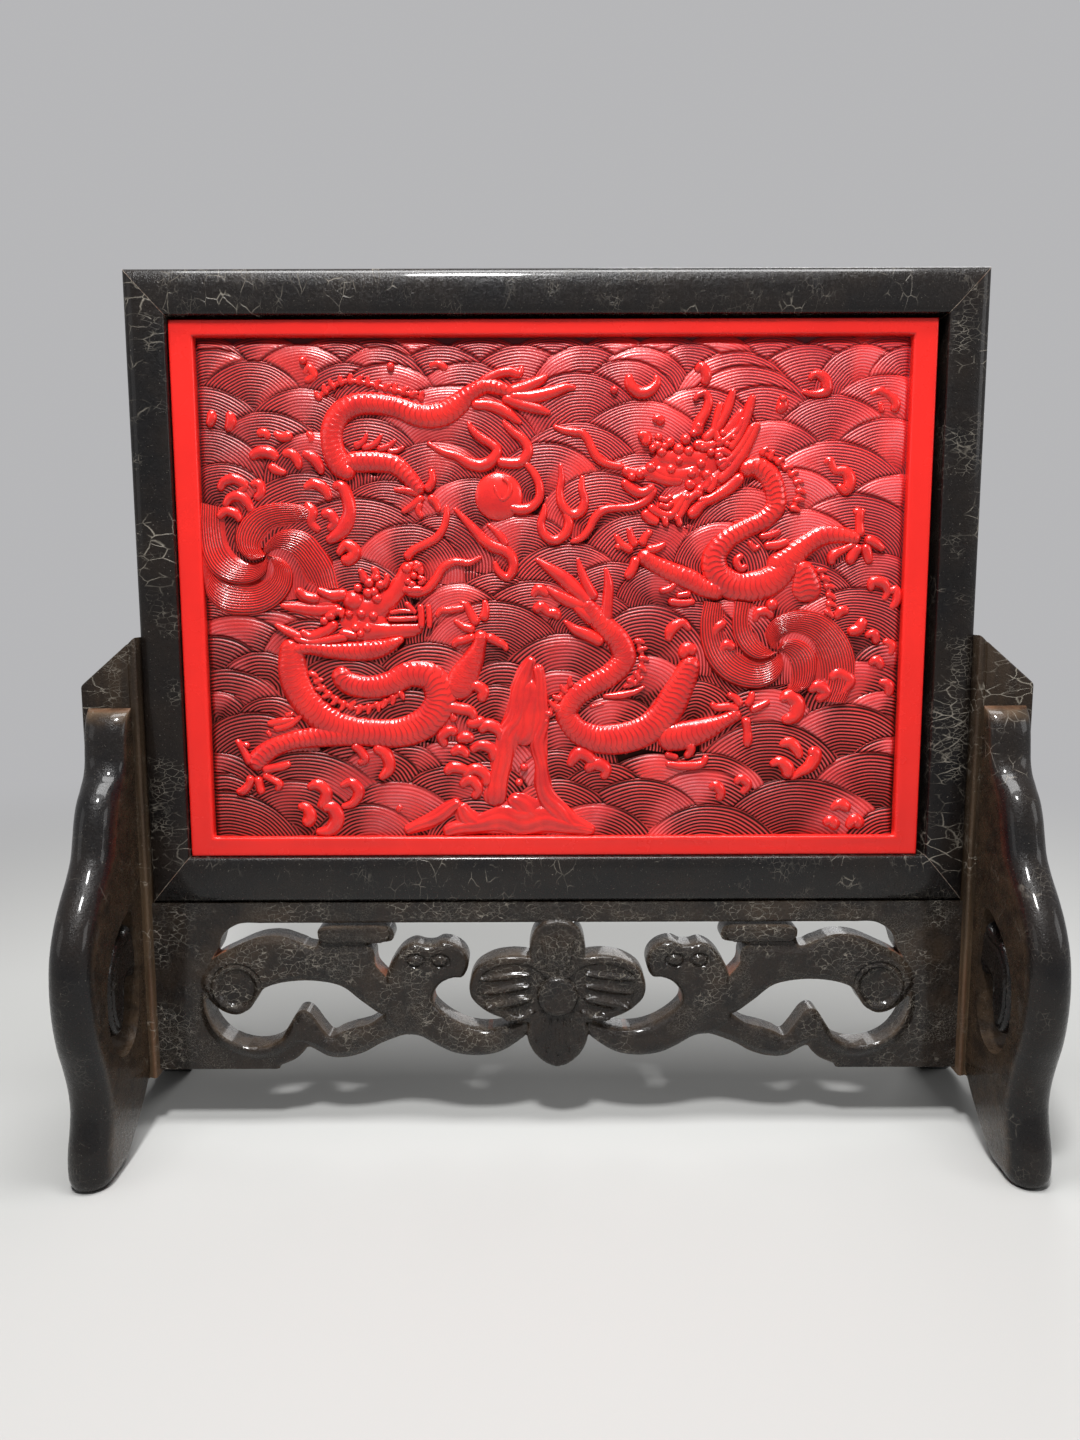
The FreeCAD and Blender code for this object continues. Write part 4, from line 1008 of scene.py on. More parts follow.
# %% [markdown]
# ## Strokes of the chisel
# Dragons, flames, claws and spray are all strokes: a line that swells and thins, with a round back.
# Blender's curve bevel could give that too, but only with a circle. Here an ellipse is carried
# along the line: as wide as the line was drawn, and so high that wide strokes stand close to the
# level of the border and thin ones near the water. Both ends close with a round tip.

# %% Strokes
# The highest crest of each kind of stroke, in mm above the ground:
FIGURE_TOP, BODY_TOP, LIMB_TOP, CLAW_TOP, SPRAY_TOP = 5.3, 5.35, 5.2, 4.8, 4.6
# Crests that don't follow the width, from the masses of the heads up to the beads on them:
MASS_CREST, SKULL_CREST, FEATURE_CREST, CURL_CREST, BEAD_CREST = 3.7, 4.3, 5.1, 5.4, 5.45
FIN_CREST, SPINE_CREST = 3.7, 4.3
FIGURE_BASE, SPRAY_BASE = 2.9, 2.3  # crest of a stroke without width
LEAST_HALF = 0.25
STEEPNESS = 0.75  # rise of a stroke's back over its half width
BURIED = 0.5
RIB_PITCH, RIB_RISE, RIB_CUT = 2.6, 0.09, 0.13
FURROW_RISE = 0.05


def stroke(places_px, top=FIGURE_TOP, around=14, step=0.9, swell=None, crest=None, base=FIGURE_BASE):
    """Centre line from x, z. The upper half of the section is an ellipse (half width * cos, high * sin)
    whose crest lies at base + steepness * half width, at the most at the top, or where crest says. The
    lower half is an almost upright wall that goes down into the ground. swell adds to the upper half."""
    places = np.asarray(places_px, float)
    line = smooth(np.column_stack((to_plaque(places), places[:, 2] * MM_PER_PX)), step)
    half = np.maximum(line[:, 2], LEAST_HALF)
    run = np.concatenate(([0], np.cumsum(np.hypot(*np.diff(line[:, :2], axis=0).T))))
    start, end = run / half[0], (run[-1] - run) / half[-1]
    tip = np.sqrt(1 - (1 - np.clip(start, 0, 1)) ** 2) * np.sqrt(1 - (1 - np.clip(end, 0, 1)) ** 2)
    peak = np.minimum(top, base + STEEPNESS * half) if crest is None else np.full(len(half), crest)
    high = np.minimum(half, STEEPNESS * peak)
    lift = peak - high
    along = np.gradient(line[:, :2], axis=0)
    along /= np.linalg.norm(along, axis=1)[:, None] + 1e-9
    side = np.column_stack((-along[:, 1], along[:, 0]))
    phi = np.linspace(0, 2 * np.pi, around, endpoint=False)
    sine, cosine = np.sin(phi), np.cos(phi)
    grow, tone = np.ones((len(line), around)), np.ones((len(line), around))
    if swell is not None:
        more, tone = swell(run[:, None], phi[None])
        grow = grow + more * np.clip(sine, 0, 1) ** 0.5
    back = sine >= -1e-9
    profile = np.where(back, cosine, np.sign(cosine) * np.abs(cosine) ** 0.35)
    wide = (half * tip)[:, None] * profile * grow
    upper = (high * tip)[:, None] * sine * grow
    up = lift[:, None] + np.where(back, upper, (lift + BURIED)[:, None] * sine)
    x = line[:, :1] + side[:, :1] * wide
    z = line[:, 1:2] + side[:, 1:2] * wide
    # Painted shade: the tone falls down the flanks and the wall of a stroke, darkest at its foot.
    tone = tone * np.clip(0.45 + 1.2 * (sine + 0.15), 0.12, 1)
    points = raised(x, z, up).reshape(-1, 3)
    return outward((points, grid_quads(len(line), around, wrap=True), tone.ravel()))


def ball(place_px, crest):
    """A round bead: a stroke that is as long as it is wide, so its two round tips meet."""
    x, z, r = place_px
    return stroke(((x - r, z, r), (x + r, z, r)), around=16, step=0.35, crest=crest)


def scaled(run, phi):
    """Rows of scales: shallow steps across the back, each scalloped by |sin(3 * phi)|. Gives the share
    by which the section swells, and the tone."""
    row = (run / RIB_PITCH + 0.40 * np.abs(np.sin(3 * phi)) + 0.15 * np.cos(phi)) % 1.0
    band = 0.45 + 0.55 * np.clip(np.sin(phi), 0, 1)
    cut = np.exp(-(np.minimum(row, 1 - row) / RIB_CUT) ** 2)
    return RIB_RISE * (row ** 1.5 - 0.5) * band, 1 - 0.62 * cut * band


def furrowed(run, phi):
    """Lengthwise furrows that wander a little, like the cracks of a rock: swelling and tone."""
    wave = np.sin(9 * phi + 2.2 * np.sin(run / 9) + 1.5 * np.sin(run / 3.7))
    return FURROW_RISE * wave, 1 - 0.25 * soft(-2 * wave)


# %% [markdown]
# ## Two dragons, a pearl and flames
# Two dragons chase a flaming pearl over the waves, an old and widely used theme. Each list below
# is one kind of stroke, drawn over the photograph as places with a half width, all in pixels. The
# bodies carry ribs, so they get finer steps than the claws, flames and tufts.

# %% Bodies
BODIES_PX = (
    ((334, 664, 10), (340, 678, 12), (360, 685, 12.5), (385, 682, 13), (407, 672, 14), (427, 676, 15.5),
     (436, 695, 17), (425, 717, 17), (400, 730, 16), (368, 731, 15), (338, 726, 15.5), (312, 711, 16),
     (295, 690, 16), (288, 668, 15.5), (287, 650, 13), (284, 636, 9)),
    ((352, 476, 7), (338, 463, 12), (331, 446, 12), (331, 428, 12), (338, 413, 12), (352, 404, 11.5),
     (372, 402, 11), (395, 406, 11.5), (418, 414, 12.5), (440, 413, 13), (457, 403, 12), (470, 392, 9),
     (484, 385, 8), (500, 388, 7), (512, 394, 4)),
    ((736, 472, 8), (752, 466, 10), (765, 474, 11.5), (772, 490, 11.5), (772, 506, 11), (762, 518, 10.5),
     (742, 528, 10.5), (722, 540, 11.5), (711, 557, 13), (714, 573, 14), (728, 584, 15),
     (746, 586, 15.5), (764, 582, 16), (780, 570, 14), (792, 555, 11)),
    ((796, 560, 8), (801, 574, 13), (803, 588, 16.5), (803, 602, 19)),
    ((690, 655, 9), (682, 674, 13), (672, 694, 16), (660, 714, 16), (640, 730, 16.5), (614, 738, 16.5),
     (588, 737, 15), (570, 727, 13), (562, 712, 12), (570, 697, 12), (588, 684, 12), (607, 673, 12.5),
     (620, 658, 13), (615, 640, 12.5), (601, 625, 11.5), (589, 611, 10), (581, 598, 7)),
)
carving("dragon_bodies", [stroke(line, BODY_TOP, 36, 0.36, scaled) for line in BODIES_PX], red_relief)

# %% Teeth along the backs
SPINES_PX = (
    ((318, 396), (330, 386), (346, 380), (366, 382), (384, 387), (402, 391), (420, 397)),
    ((760, 452), (776, 462), (790, 476), (796, 492), (790, 508)),
    ((816, 570), (823, 584), (826, 600), (824, 612)),
    ((308, 672), (318, 686), (332, 698), (352, 706), (376, 702), (396, 692)),
    ((634, 640), (638, 656), (636, 668), (626, 680)),
    ((540, 720), (552, 700), (566, 682)),
)
SPINE_PITCH_PX, SPINE_LENGTH_PX = 8.5, 7.0
SPINE_HALVES_PX, SPINE_HOOK = (3.2, 3.0, 1.2), 0.35
FIN_HALF_PX = 2.6


def spines(line_px):
    """Short hooks along a line, each pointing away from the nearest place of a dragon's body."""
    line = smooth(np.array(line_px, float), 1.0)
    backs = np.array([place[:2] for body in BODIES_PX for place in body])
    forms = []
    for foot in even(line, int(len(line) / SPINE_PITCH_PX) + 1):
        away = foot - backs[np.argmin(((backs - foot) ** 2).sum(1))]
        away = SPINE_LENGTH_PX * away / np.hypot(*away)
        hook = SPINE_HOOK * np.array((-away[1], away[0]))
        places = (foot - 0.6 * away, foot + 0.3 * away, foot + away + hook)
        forms.append(stroke(np.column_stack((places, SPINE_HALVES_PX)), step=0.5, crest=SPINE_CREST))
    return forms + [stroke([(*place, FIN_HALF_PX) for place in line_px], step=0.6, crest=FIN_CREST)]


carving("dragon_spines", [form for line in SPINES_PX for form in spines(line)], red_relief)

# %% Limbs and claws
LIMBS_PX = (
    ((284, 650, 7), (300, 646, 7), (325, 648, 9), (352, 649, 11), (378, 646, 9.5), (400, 636, 3)),
    ((342, 461, 9), (356, 460, 11), (375, 460, 11), (392, 463, 10.5), (405, 474, 9), (415, 486, 7.5),
     (421, 492, 5)),
    ((450, 698, 14), (459, 676, 16), (470, 656, 11), (476, 640, 7.5), (478, 628, 9)),
    ((368, 733, 12), (330, 733, 12.5), (305, 736, 11), (283, 740, 10), (266, 747, 10.5), (253, 758, 11),
     (248, 769, 9)),
    ((766, 574, 17), (784, 560, 14.5), (800, 546, 11.5), (820, 535, 11), (840, 535, 8.5), (857, 540, 6.5)),
    ((722, 590, 12), (704, 588, 10), (686, 579, 11), (665, 570, 10), (648, 561, 9), (636, 550, 9)),
    ((652, 738, 14), (680, 735, 15), (703, 728, 12), (722, 719, 8), (737, 711, 7.5)),
)
CLAWS_PX = (
    ((423, 490, 5), (430, 480, 4), (429, 467, 3)),
    ((419, 492, 5), (405, 489, 4), (391, 488, 2.5)),
    ((421, 494, 5), (412, 503, 4), (399, 511, 2.5)),
    ((426, 494, 5), (433, 501, 4), (437, 511, 3)),
    ((418, 500, 4), (416, 510, 3.5), (420, 517, 2.5)),
    ((474, 624, 6), (467, 612, 4.5), (462, 603, 3.5), (456, 600, 2)),
    ((479, 620, 6), (482, 609, 4.5), (481, 598, 2.5)),
    ((472, 628, 5.5), (460, 625, 4.5), (450, 618, 2.5)),
    ((472, 634, 5), (461, 638, 4.5), (452, 641, 4), (449, 646, 2)),
    ((482, 634, 5.5), (493, 640, 4.5), (501, 645, 3.5), (503, 650, 2)),
    ((462, 606, 3.5), (448, 608, 4), (436, 610, 3), (433, 616, 2)),
    ((246, 763, 5.5), (240, 752, 4), (236, 744, 4), (231, 737, 2.5)),
    ((237, 742, 3.5), (245, 744, 3)),
    ((256, 768, 5), (268, 766, 4.5), (278, 764, 4.5), (286, 761, 3)),
    ((257, 772, 5), (266, 777, 4), (274, 783, 4.5), (270, 789, 2.5)),
    ((252, 774, 5.5), (254, 784, 4.5), (256, 793, 5)),
    ((246, 773, 5.5), (243, 783, 4.5), (237, 789, 5), (230, 790, 2.5)),
    ((857, 537, 5.5), (856, 523, 4.5), (855, 512, 5), (849, 511, 3)),
    ((856, 514, 3), (862, 509, 3)),
    ((861, 538, 5.5), (872, 543, 5), (881, 550, 3)),
    ((861, 543, 5.5), (864, 554, 5.5), (866, 564, 4)),
    ((857, 544, 5), (849, 555, 6), (845, 564, 4)),
    ((853, 543, 4), (840, 549, 4), (829, 556, 5.5), (828, 565, 3)),
    ((630, 550, 5), (618, 543, 4), (612, 533, 2.5)),
    ((618, 543, 4), (612, 548, 3)),
    ((633, 546, 5), (628, 536, 4), (626, 526, 3.5)),
    ((638, 545, 5), (642, 536, 4), (649, 529, 3.5)),
    ((642, 549, 5), (654, 547, 4.5), (663, 542, 3)),
    ((633, 555, 5.5), (630, 566, 5), (625, 574, 5), (621, 577, 3)),
    ((735, 710, 5), (724, 706, 4.5), (711, 706, 4), (706, 702, 2.5)),
    ((737, 706, 5), (732, 698, 4), (723, 693, 3)),
    ((742, 706, 5), (747, 698, 4), (748, 690, 3)),
    ((745, 710, 5), (757, 705, 4.5), (766, 700, 3)),
    ((741, 716, 5.5), (743, 730, 4.5), (743, 742, 5), (742, 747, 2.5)),
)
limbs = [stroke(line, LIMB_TOP, 30, 0.4, scaled) for line in LIMBS_PX]
claws = [stroke(line, CLAW_TOP, step=0.6) for line in CLAWS_PX]
carving("dragon_limbs", limbs + claws, red_relief)

# %% Flames, tails and tufts
FLAMES_PX = (
    ((478, 384, 6), (492, 375, 5), (508, 371, 5), (518, 373, 4), (521, 365, 2)),
    ((505, 392, 7), (525, 386, 7), (538, 380, 5), (546, 375, 2.5)),
    ((505, 396, 7), (530, 396, 8), (552, 391, 6.5), (566, 387, 4.5), (575, 388, 2)),
    ((500, 396, 6), (520, 404, 6), (538, 409, 5), (549, 413, 2)),
    ((469, 404, 5), (486, 404, 6), (502, 410, 6.5), (513, 418, 4), (520, 423, 2)),
    ((352, 446, 4), (362, 440, 3), (366, 431, 1.5)),
    ((360, 448, 4), (375, 441, 3), (381, 432, 1.5)),
    ((375, 449, 4), (388, 444, 3), (395, 438, 1.5)),
    ((385, 450, 3.5), (396, 449, 2.5), (403, 445, 1.5)),
    ((262, 722, 3), (275, 720, 4.5), (291, 717, 2.5)),
    ((268, 727, 4), (284, 723, 4), (298, 713, 2)),
    ((280, 714, 3), (290, 711, 2)),
    ((262, 728, 3), (266, 735, 2)),
    ((347, 742, 5.5), (356, 750, 5), (360, 758, 5), (352, 762, 3)),
    ((368, 745, 5), (380, 752, 7.5), (384, 766, 7), (374, 778, 3)),
    ((655, 590, 3), (665, 588, 4), (673, 582, 3)),
    ((664, 600, 4), (680, 602, 4), (692, 600, 3)),
    ((672, 595, 3), (688, 592, 4)),
    ((684, 740, 6), (686, 750, 5), (680, 757, 3)),
    ((660, 763, 3.5), (680, 765, 5), (699, 761, 4), (702, 754, 3)),
    ((660, 753, 3), (674, 757, 3)),
    ((598, 695, 2), (615, 694, 4), (632, 690, 3), (641, 685, 1.5)),
    ((618, 686, 2), (630, 682, 3), (640, 675, 1.5)),
    ((585, 706, 2), (600, 702, 2)),
    ((740, 553, 3), (733, 560, 4), (738, 568, 4), (744, 564, 3)),
    ((745, 540, 3), (752, 548, 3), (757, 544, 2)),
    ((755, 536, 3), (768, 534, 4), (778, 530, 3)),
    ((760, 545, 4), (775, 544, 5), (786, 540, 4)),
    ((588, 604, 7), (574, 590, 8), (560, 577, 8), (546, 567, 5.5), (532, 557, 2)),
    ((583, 606, 7), (562, 598, 7), (551, 592, 5), (542, 585, 2)),
    ((592, 600, 7), (584, 585, 5.5), (578, 570, 4), (574, 556, 1.5)),
    ((602, 622, 7), (604, 600, 6), (605, 582, 5), (602, 566, 2)),
    ((600, 642, 6), (585, 634, 7), (571, 628, 5), (560, 619, 2)),
    ((592, 622, 7), (580, 612, 6), (570, 604, 4)),
    ((425, 441, 2), (440, 450, 4), (455, 455, 5), (467, 462, 6.5), (480, 464, 7), (491, 458, 6),
     (495, 449, 5), (489, 443, 4.5), (478, 436, 4.5), (470, 428, 3.5), (466, 420, 1.5)),
    ((494, 460, 5), (508, 462, 6), (520, 460, 6), (526, 450, 5.5), (522, 440, 5), (512, 432, 4.5),
     (505, 425, 3.5), (501, 419, 1.5)),
    ((522, 461, 3), (532, 473, 4), (537, 486, 4.5), (536, 498, 4.5), (528, 506, 5), (515, 508, 5.5),
     (505, 505, 4)),
    ((451, 506, 1.5), (461, 517, 3.5), (471, 528, 5), (480, 538, 6), (490, 545, 6.5), (501, 549, 6.5),
     (509, 557, 5.5), (510, 567, 5), (504, 576, 4.5), (496, 571, 4), (491, 559, 2)),
    ((484, 522, 1.5), (493, 530, 3.5), (500, 538, 4.5), (503, 546, 4)),
)
WHISKERS_PX = (
    ((398, 586, 5), (411, 591, 5), (424, 587, 5), (433, 577, 4.5), (440, 566, 4.5), (452, 560, 4),
     (466, 561, 3.5), (479, 555, 2)),
    ((402, 558, 5), (410, 549, 4.5), (422, 543, 4.5), (434, 536, 4.5), (441, 526, 4), (444, 514, 3.5),
     (444, 503, 2)),
    ((622, 466, 4), (608, 464, 4), (597, 459, 4.5), (590, 449, 4.5), (586, 440, 4.5), (580, 433, 4.5),
     (570, 431, 4.5), (560, 429, 3.5), (551, 425, 2)),
    ((652, 486, 5), (645, 498, 5), (632, 505, 4.5), (614, 507, 4), (601, 509, 4.5), (592, 517, 4.5),
     (586, 528, 4), (578, 537, 3.5), (567, 541, 2)),
    ((558, 462, 2), (559, 478, 3.5), (557, 492, 4), (560, 505, 5), (568, 513, 5.5), (577, 511, 5.5),
     (582, 500, 4.5), (579, 488, 4), (580, 474, 2)),
    ((562, 510, 3.5), (566, 522, 5), (562, 533, 5), (551, 539, 5), (541, 533, 5), (538, 523, 4.5),
     (541, 512, 3.5), (542, 502, 1.5)),
)
flames = [stroke(line, CLAW_TOP, step=0.7) for line in FLAMES_PX]
whiskers = [stroke(line, SPRAY_TOP, step=0.7) for line in WHISKERS_PX]
carving("flames_and_whiskers", flames + whiskers, red_relief)

# %% Heads
HEADS_PX = (
    ((345, 592, 6), (327, 593, 6.5), (314, 587, 3)),
    ((318, 597, 5), (302, 594, 5.5), (294, 586, 3)),
    ((338, 606, 5), (315, 608, 7.5), (295, 606, 6.5), (277, 603, 2)),
    ((334, 620, 5), (320, 630, 6), (305, 634, 5), (297, 628, 3)),
    ((300, 636, 4), (286, 630, 5), (272, 622, 2)),
    ((345, 634, 5), (325, 638, 4.5), (305, 640, 4), (290, 635, 3)),
    ((322, 617, 4), (330, 611, 4), (338, 609, 4), (338, 616, 3)),
    ((335, 630, 5), (345, 632, 5), (355, 634, 4)),
    ((344, 622, 12), (362, 627, 12), (380, 628, 9), (400, 627, 7.5), (420, 626, 6.5)),
    ((350, 605, 12), (368, 607, 12), (384, 598, 11), (396, 585, 10), (403, 572, 9), (405, 561, 7)),
    ((384, 617, 2.5), (400, 617, 3), (415, 616, 2.5)),
    ((386, 611, 2), (400, 609, 2.5), (410, 610, 2)),
    ((417, 602, 3), (418, 615, 3.5), (418, 627, 3)),
    ((425, 602, 2.5), (426, 615, 3), (426, 627, 2.5)),
    ((402, 600, 2.5), (408, 607, 3), (413, 612, 2)),
    ((362, 582, 5), (360, 573, 4), (356, 567, 2)),
    ((370, 580, 5), (373, 571, 4), (369, 565, 2)),
    ((380, 586, 4), (384, 577, 3), (383, 571, 2)),
    ((400, 588, 5), (410, 588, 5.5), (421, 588, 4)),
    ((414, 575, 3), (421, 578, 2.5), (415, 583, 3)),
    ((410, 560, 4), (417, 566, 3.5), (418, 574, 3)),
    ((700, 441, 5), (712, 430, 5), (722, 415, 5), (728, 400, 4.5), (731, 389, 2.5)),
    ((712, 446, 4), (726, 437, 4.5), (737, 427, 4.5), (740, 417, 2.5)),
    ((716, 442, 4), (712, 430, 4), (715, 415, 4), (718, 402, 3)),
    ((726, 450, 4), (737, 434, 4.5), (744, 416, 5), (748, 403, 4.5), (751, 395, 2.5)),
    ((716, 470, 5), (735, 450, 5), (745, 435, 5), (751, 424, 3)),
    ((714, 482, 5), (727, 470, 6.5), (740, 452, 6.5), (749, 436, 5), (756, 422, 2.5)),
    ((740, 474, 6), (727, 486, 7), (712, 496, 6), (699, 503, 5), (690, 512, 6.5), (684, 515, 4)),
    ((716, 492, 4), (706, 498, 4.5), (694, 500, 3)),
    ((700, 484, 6), (694, 492, 5), (684, 500, 5), (678, 512, 4), (672, 521, 3)),
    ((693, 436, 6), (697, 422, 6), (704, 410, 5), (706, 400, 4.5), (702, 393, 3.5), (696, 395, 3),
     (691, 401, 2)),
    ((650, 421, 3), (656, 418, 4.5), (660, 425, 5)),
    ((635, 434, 3), (643, 436, 6.5), (643, 446, 4)),
    ((652, 456, 9), (670, 458, 10), (690, 458, 10), (708, 456, 8)),
    ((690, 443, 4.5), (703, 446, 6.5), (714, 443, 4)),
    ((710, 453, 5), (720, 451, 5), (728, 455, 2.5)),
    ((712, 464, 5), (722, 461, 4.5), (728, 466, 2.5)),
    ((650, 467, 8), (664, 474, 10), (682, 474, 10), (700, 468, 9)),
    ((619, 468, 5), (632, 473, 7.5), (645, 471, 7), (656, 476, 7.5), (668, 479, 7.5), (682, 480, 6)),
    ((619, 480, 3.5), (627, 487, 5.5), (636, 492, 5.5), (645, 490, 5), (651, 484, 4)),
    ((645, 505, 4), (655, 512, 5), (668, 514, 5), (676, 505, 4.5), (684, 492, 5)),
    ((639, 510, 4.5), (648, 518, 6), (656, 522, 3)),
    ((655, 503, 3), (664, 506, 3), (670, 500, 3)),
    ((661, 514, 4.5), (663, 526, 2.5)),
    ((673, 512, 4.5), (677, 526, 2.5)),
    ((655, 497, 3), (663, 499, 3), (669, 494, 3)),
    ((700, 470, 5), (706, 480, 5), (700, 490, 4)),
    ((712, 474, 4), (710, 484, 4), (704, 492, 3)),
)
BEADS_PX = (
    (355, 586, 4.5), (366, 581, 5.5), (365, 591, 5.5), (377, 583, 5), (374, 597, 6), (350, 599, 11),
    (352, 626, 5), (364, 626, 5), (404, 567, 6), (411, 574, 4), (405, 580, 4), (416, 564, 4),
    (357, 632, 4), (374, 576, 4), (667, 442, 5), (683, 439, 5.5), (676, 449, 6), (686, 451, 5.5),
    (659, 452, 5.5), (648, 467, 6), (668, 469, 5.5), (688, 473, 5.5), (687, 484, 6), (695, 493, 5),
    (698, 463, 5), (720, 433, 4), (716, 440, 4), (696, 426, 5), (691, 433, 4), (656, 437, 4),
    (650, 448, 4), (390, 366, 4), (303, 360, 4), (780, 399, 4), (768, 604, 6.5), (612, 390, 4),
    (519, 766, 4), (514, 781, 4), (321, 619, 4.5), (328, 614, 4.5), (335, 609, 4.5), (414, 566, 4.5),
    (409, 583, 4.5), (371, 590, 5), (346, 612, 4), (358, 612, 5), (370, 614, 5), (637, 473, 5.5),
    (629, 476, 4.5), (655, 445, 5), (700, 447, 5), (708, 452, 4.5), (704, 474, 5), (716, 456, 5),
    (684, 497, 4.5), (662, 446, 4), (676, 460, 4.5), (724, 444, 3.5), (730, 437, 3.5),
)
MASSES_PX = (
    ((646, 464, 12), (662, 463, 16), (684, 464, 18), (704, 464, 15), (718, 462, 9)),
    ((652, 508, 6), (664, 505, 9), (680, 498, 9), (692, 490, 8)),
    ((640, 474, 6), (660, 478, 6), (684, 479, 7), (702, 480, 9)),
    ((704, 452, 8), (718, 440, 10), (732, 424, 9), (742, 408, 5)),
    ((700, 486, 8), (718, 476, 10), (734, 460, 9), (746, 442, 6)),
    ((340, 606, 11), (356, 608, 15), (374, 604, 15), (388, 594, 12), (400, 576, 9)),
    ((336, 628, 8), (356, 630, 11), (384, 630, 9), (416, 628, 7)),
    ((288, 604, 5), (310, 606, 9), (334, 604, 9)),
    ((292, 588, 3), (300, 596, 4.5), (322, 597, 5), (345, 593, 6)),
    ((334, 622, 12), (350, 620, 15), (368, 621, 14), (384, 622, 9)),
    ((398, 582, 8), (405, 570, 10), (411, 559, 7)),
)
SKULL_HALF_PX = 7.0
heads = [stroke(line, around=24, step=0.8, crest=MASS_CREST) for line in MASSES_PX]
for line in HEADS_PX:
    skull = max(place[2] for place in line) > SKULL_HALF_PX
    heads.append(stroke(line, around=16, step=0.6, crest=SKULL_CREST if skull else FEATURE_CREST))
carving("dragon_heads", heads + [ball(place, BEAD_CREST) for place in BEADS_PX], red_relief)

# %% Pearl
PEARL_PX = (496.0, 495.0, 24.0)
PEARL_RIM, PEARL_RISE, PEARL_SPOKES = 2.0, 3.2, 64


def pearl():
    """A flat dome: height = rim + rise * sqrt(1 - r^2) over the disc, with a steep edge."""
    x, z, r = PEARL_PX
    (cx, cz), radius = to_plaque([(x, z)])[0], r * MM_PER_PX
    share = np.concatenate(([0.0], np.linspace(0.04, 0.9, 14), np.cos(np.linspace(0.45, 0, 6)), [1.0]))
    height = np.concatenate((PEARL_RIM + PEARL_RISE * np.sqrt(1 - share[:-1] ** 2), [-0.4]))
    s, a = np.meshgrid(share, np.linspace(0, 2 * np.pi, PEARL_SPOKES, endpoint=False), indexing="ij")
    points = raised(cx + radius * s * np.cos(a), cz + radius * s * np.sin(a), height[:, None] + 0 * a)
    tone = np.ones_like(a)
    tone[-3:] = 0.3
    quads = grid_quads(len(share), PEARL_SPOKES, wrap=True)
    return facing_front((points.reshape(-1, 3), quads, tone.ravel()))


PEARL_CURL_PX = (
    (500, 477, 1.5), (507, 483, 3), (507, 492, 3.5), (500, 499, 3), (494, 492, 2.5), (492, 484, 1.5),
)
carving("pearl", [pearl(), stroke(PEARL_CURL_PX, step=0.5, crest=CURL_CREST)], red_relief)

# %% [markdown]
# ## Spray and the rock
# Curls of spray roll up from the waves as short hooked strokes, and a bare rock stands up from the
# lower edge between the dragons. The rock is a bundle of broad strokes that melt into each other.

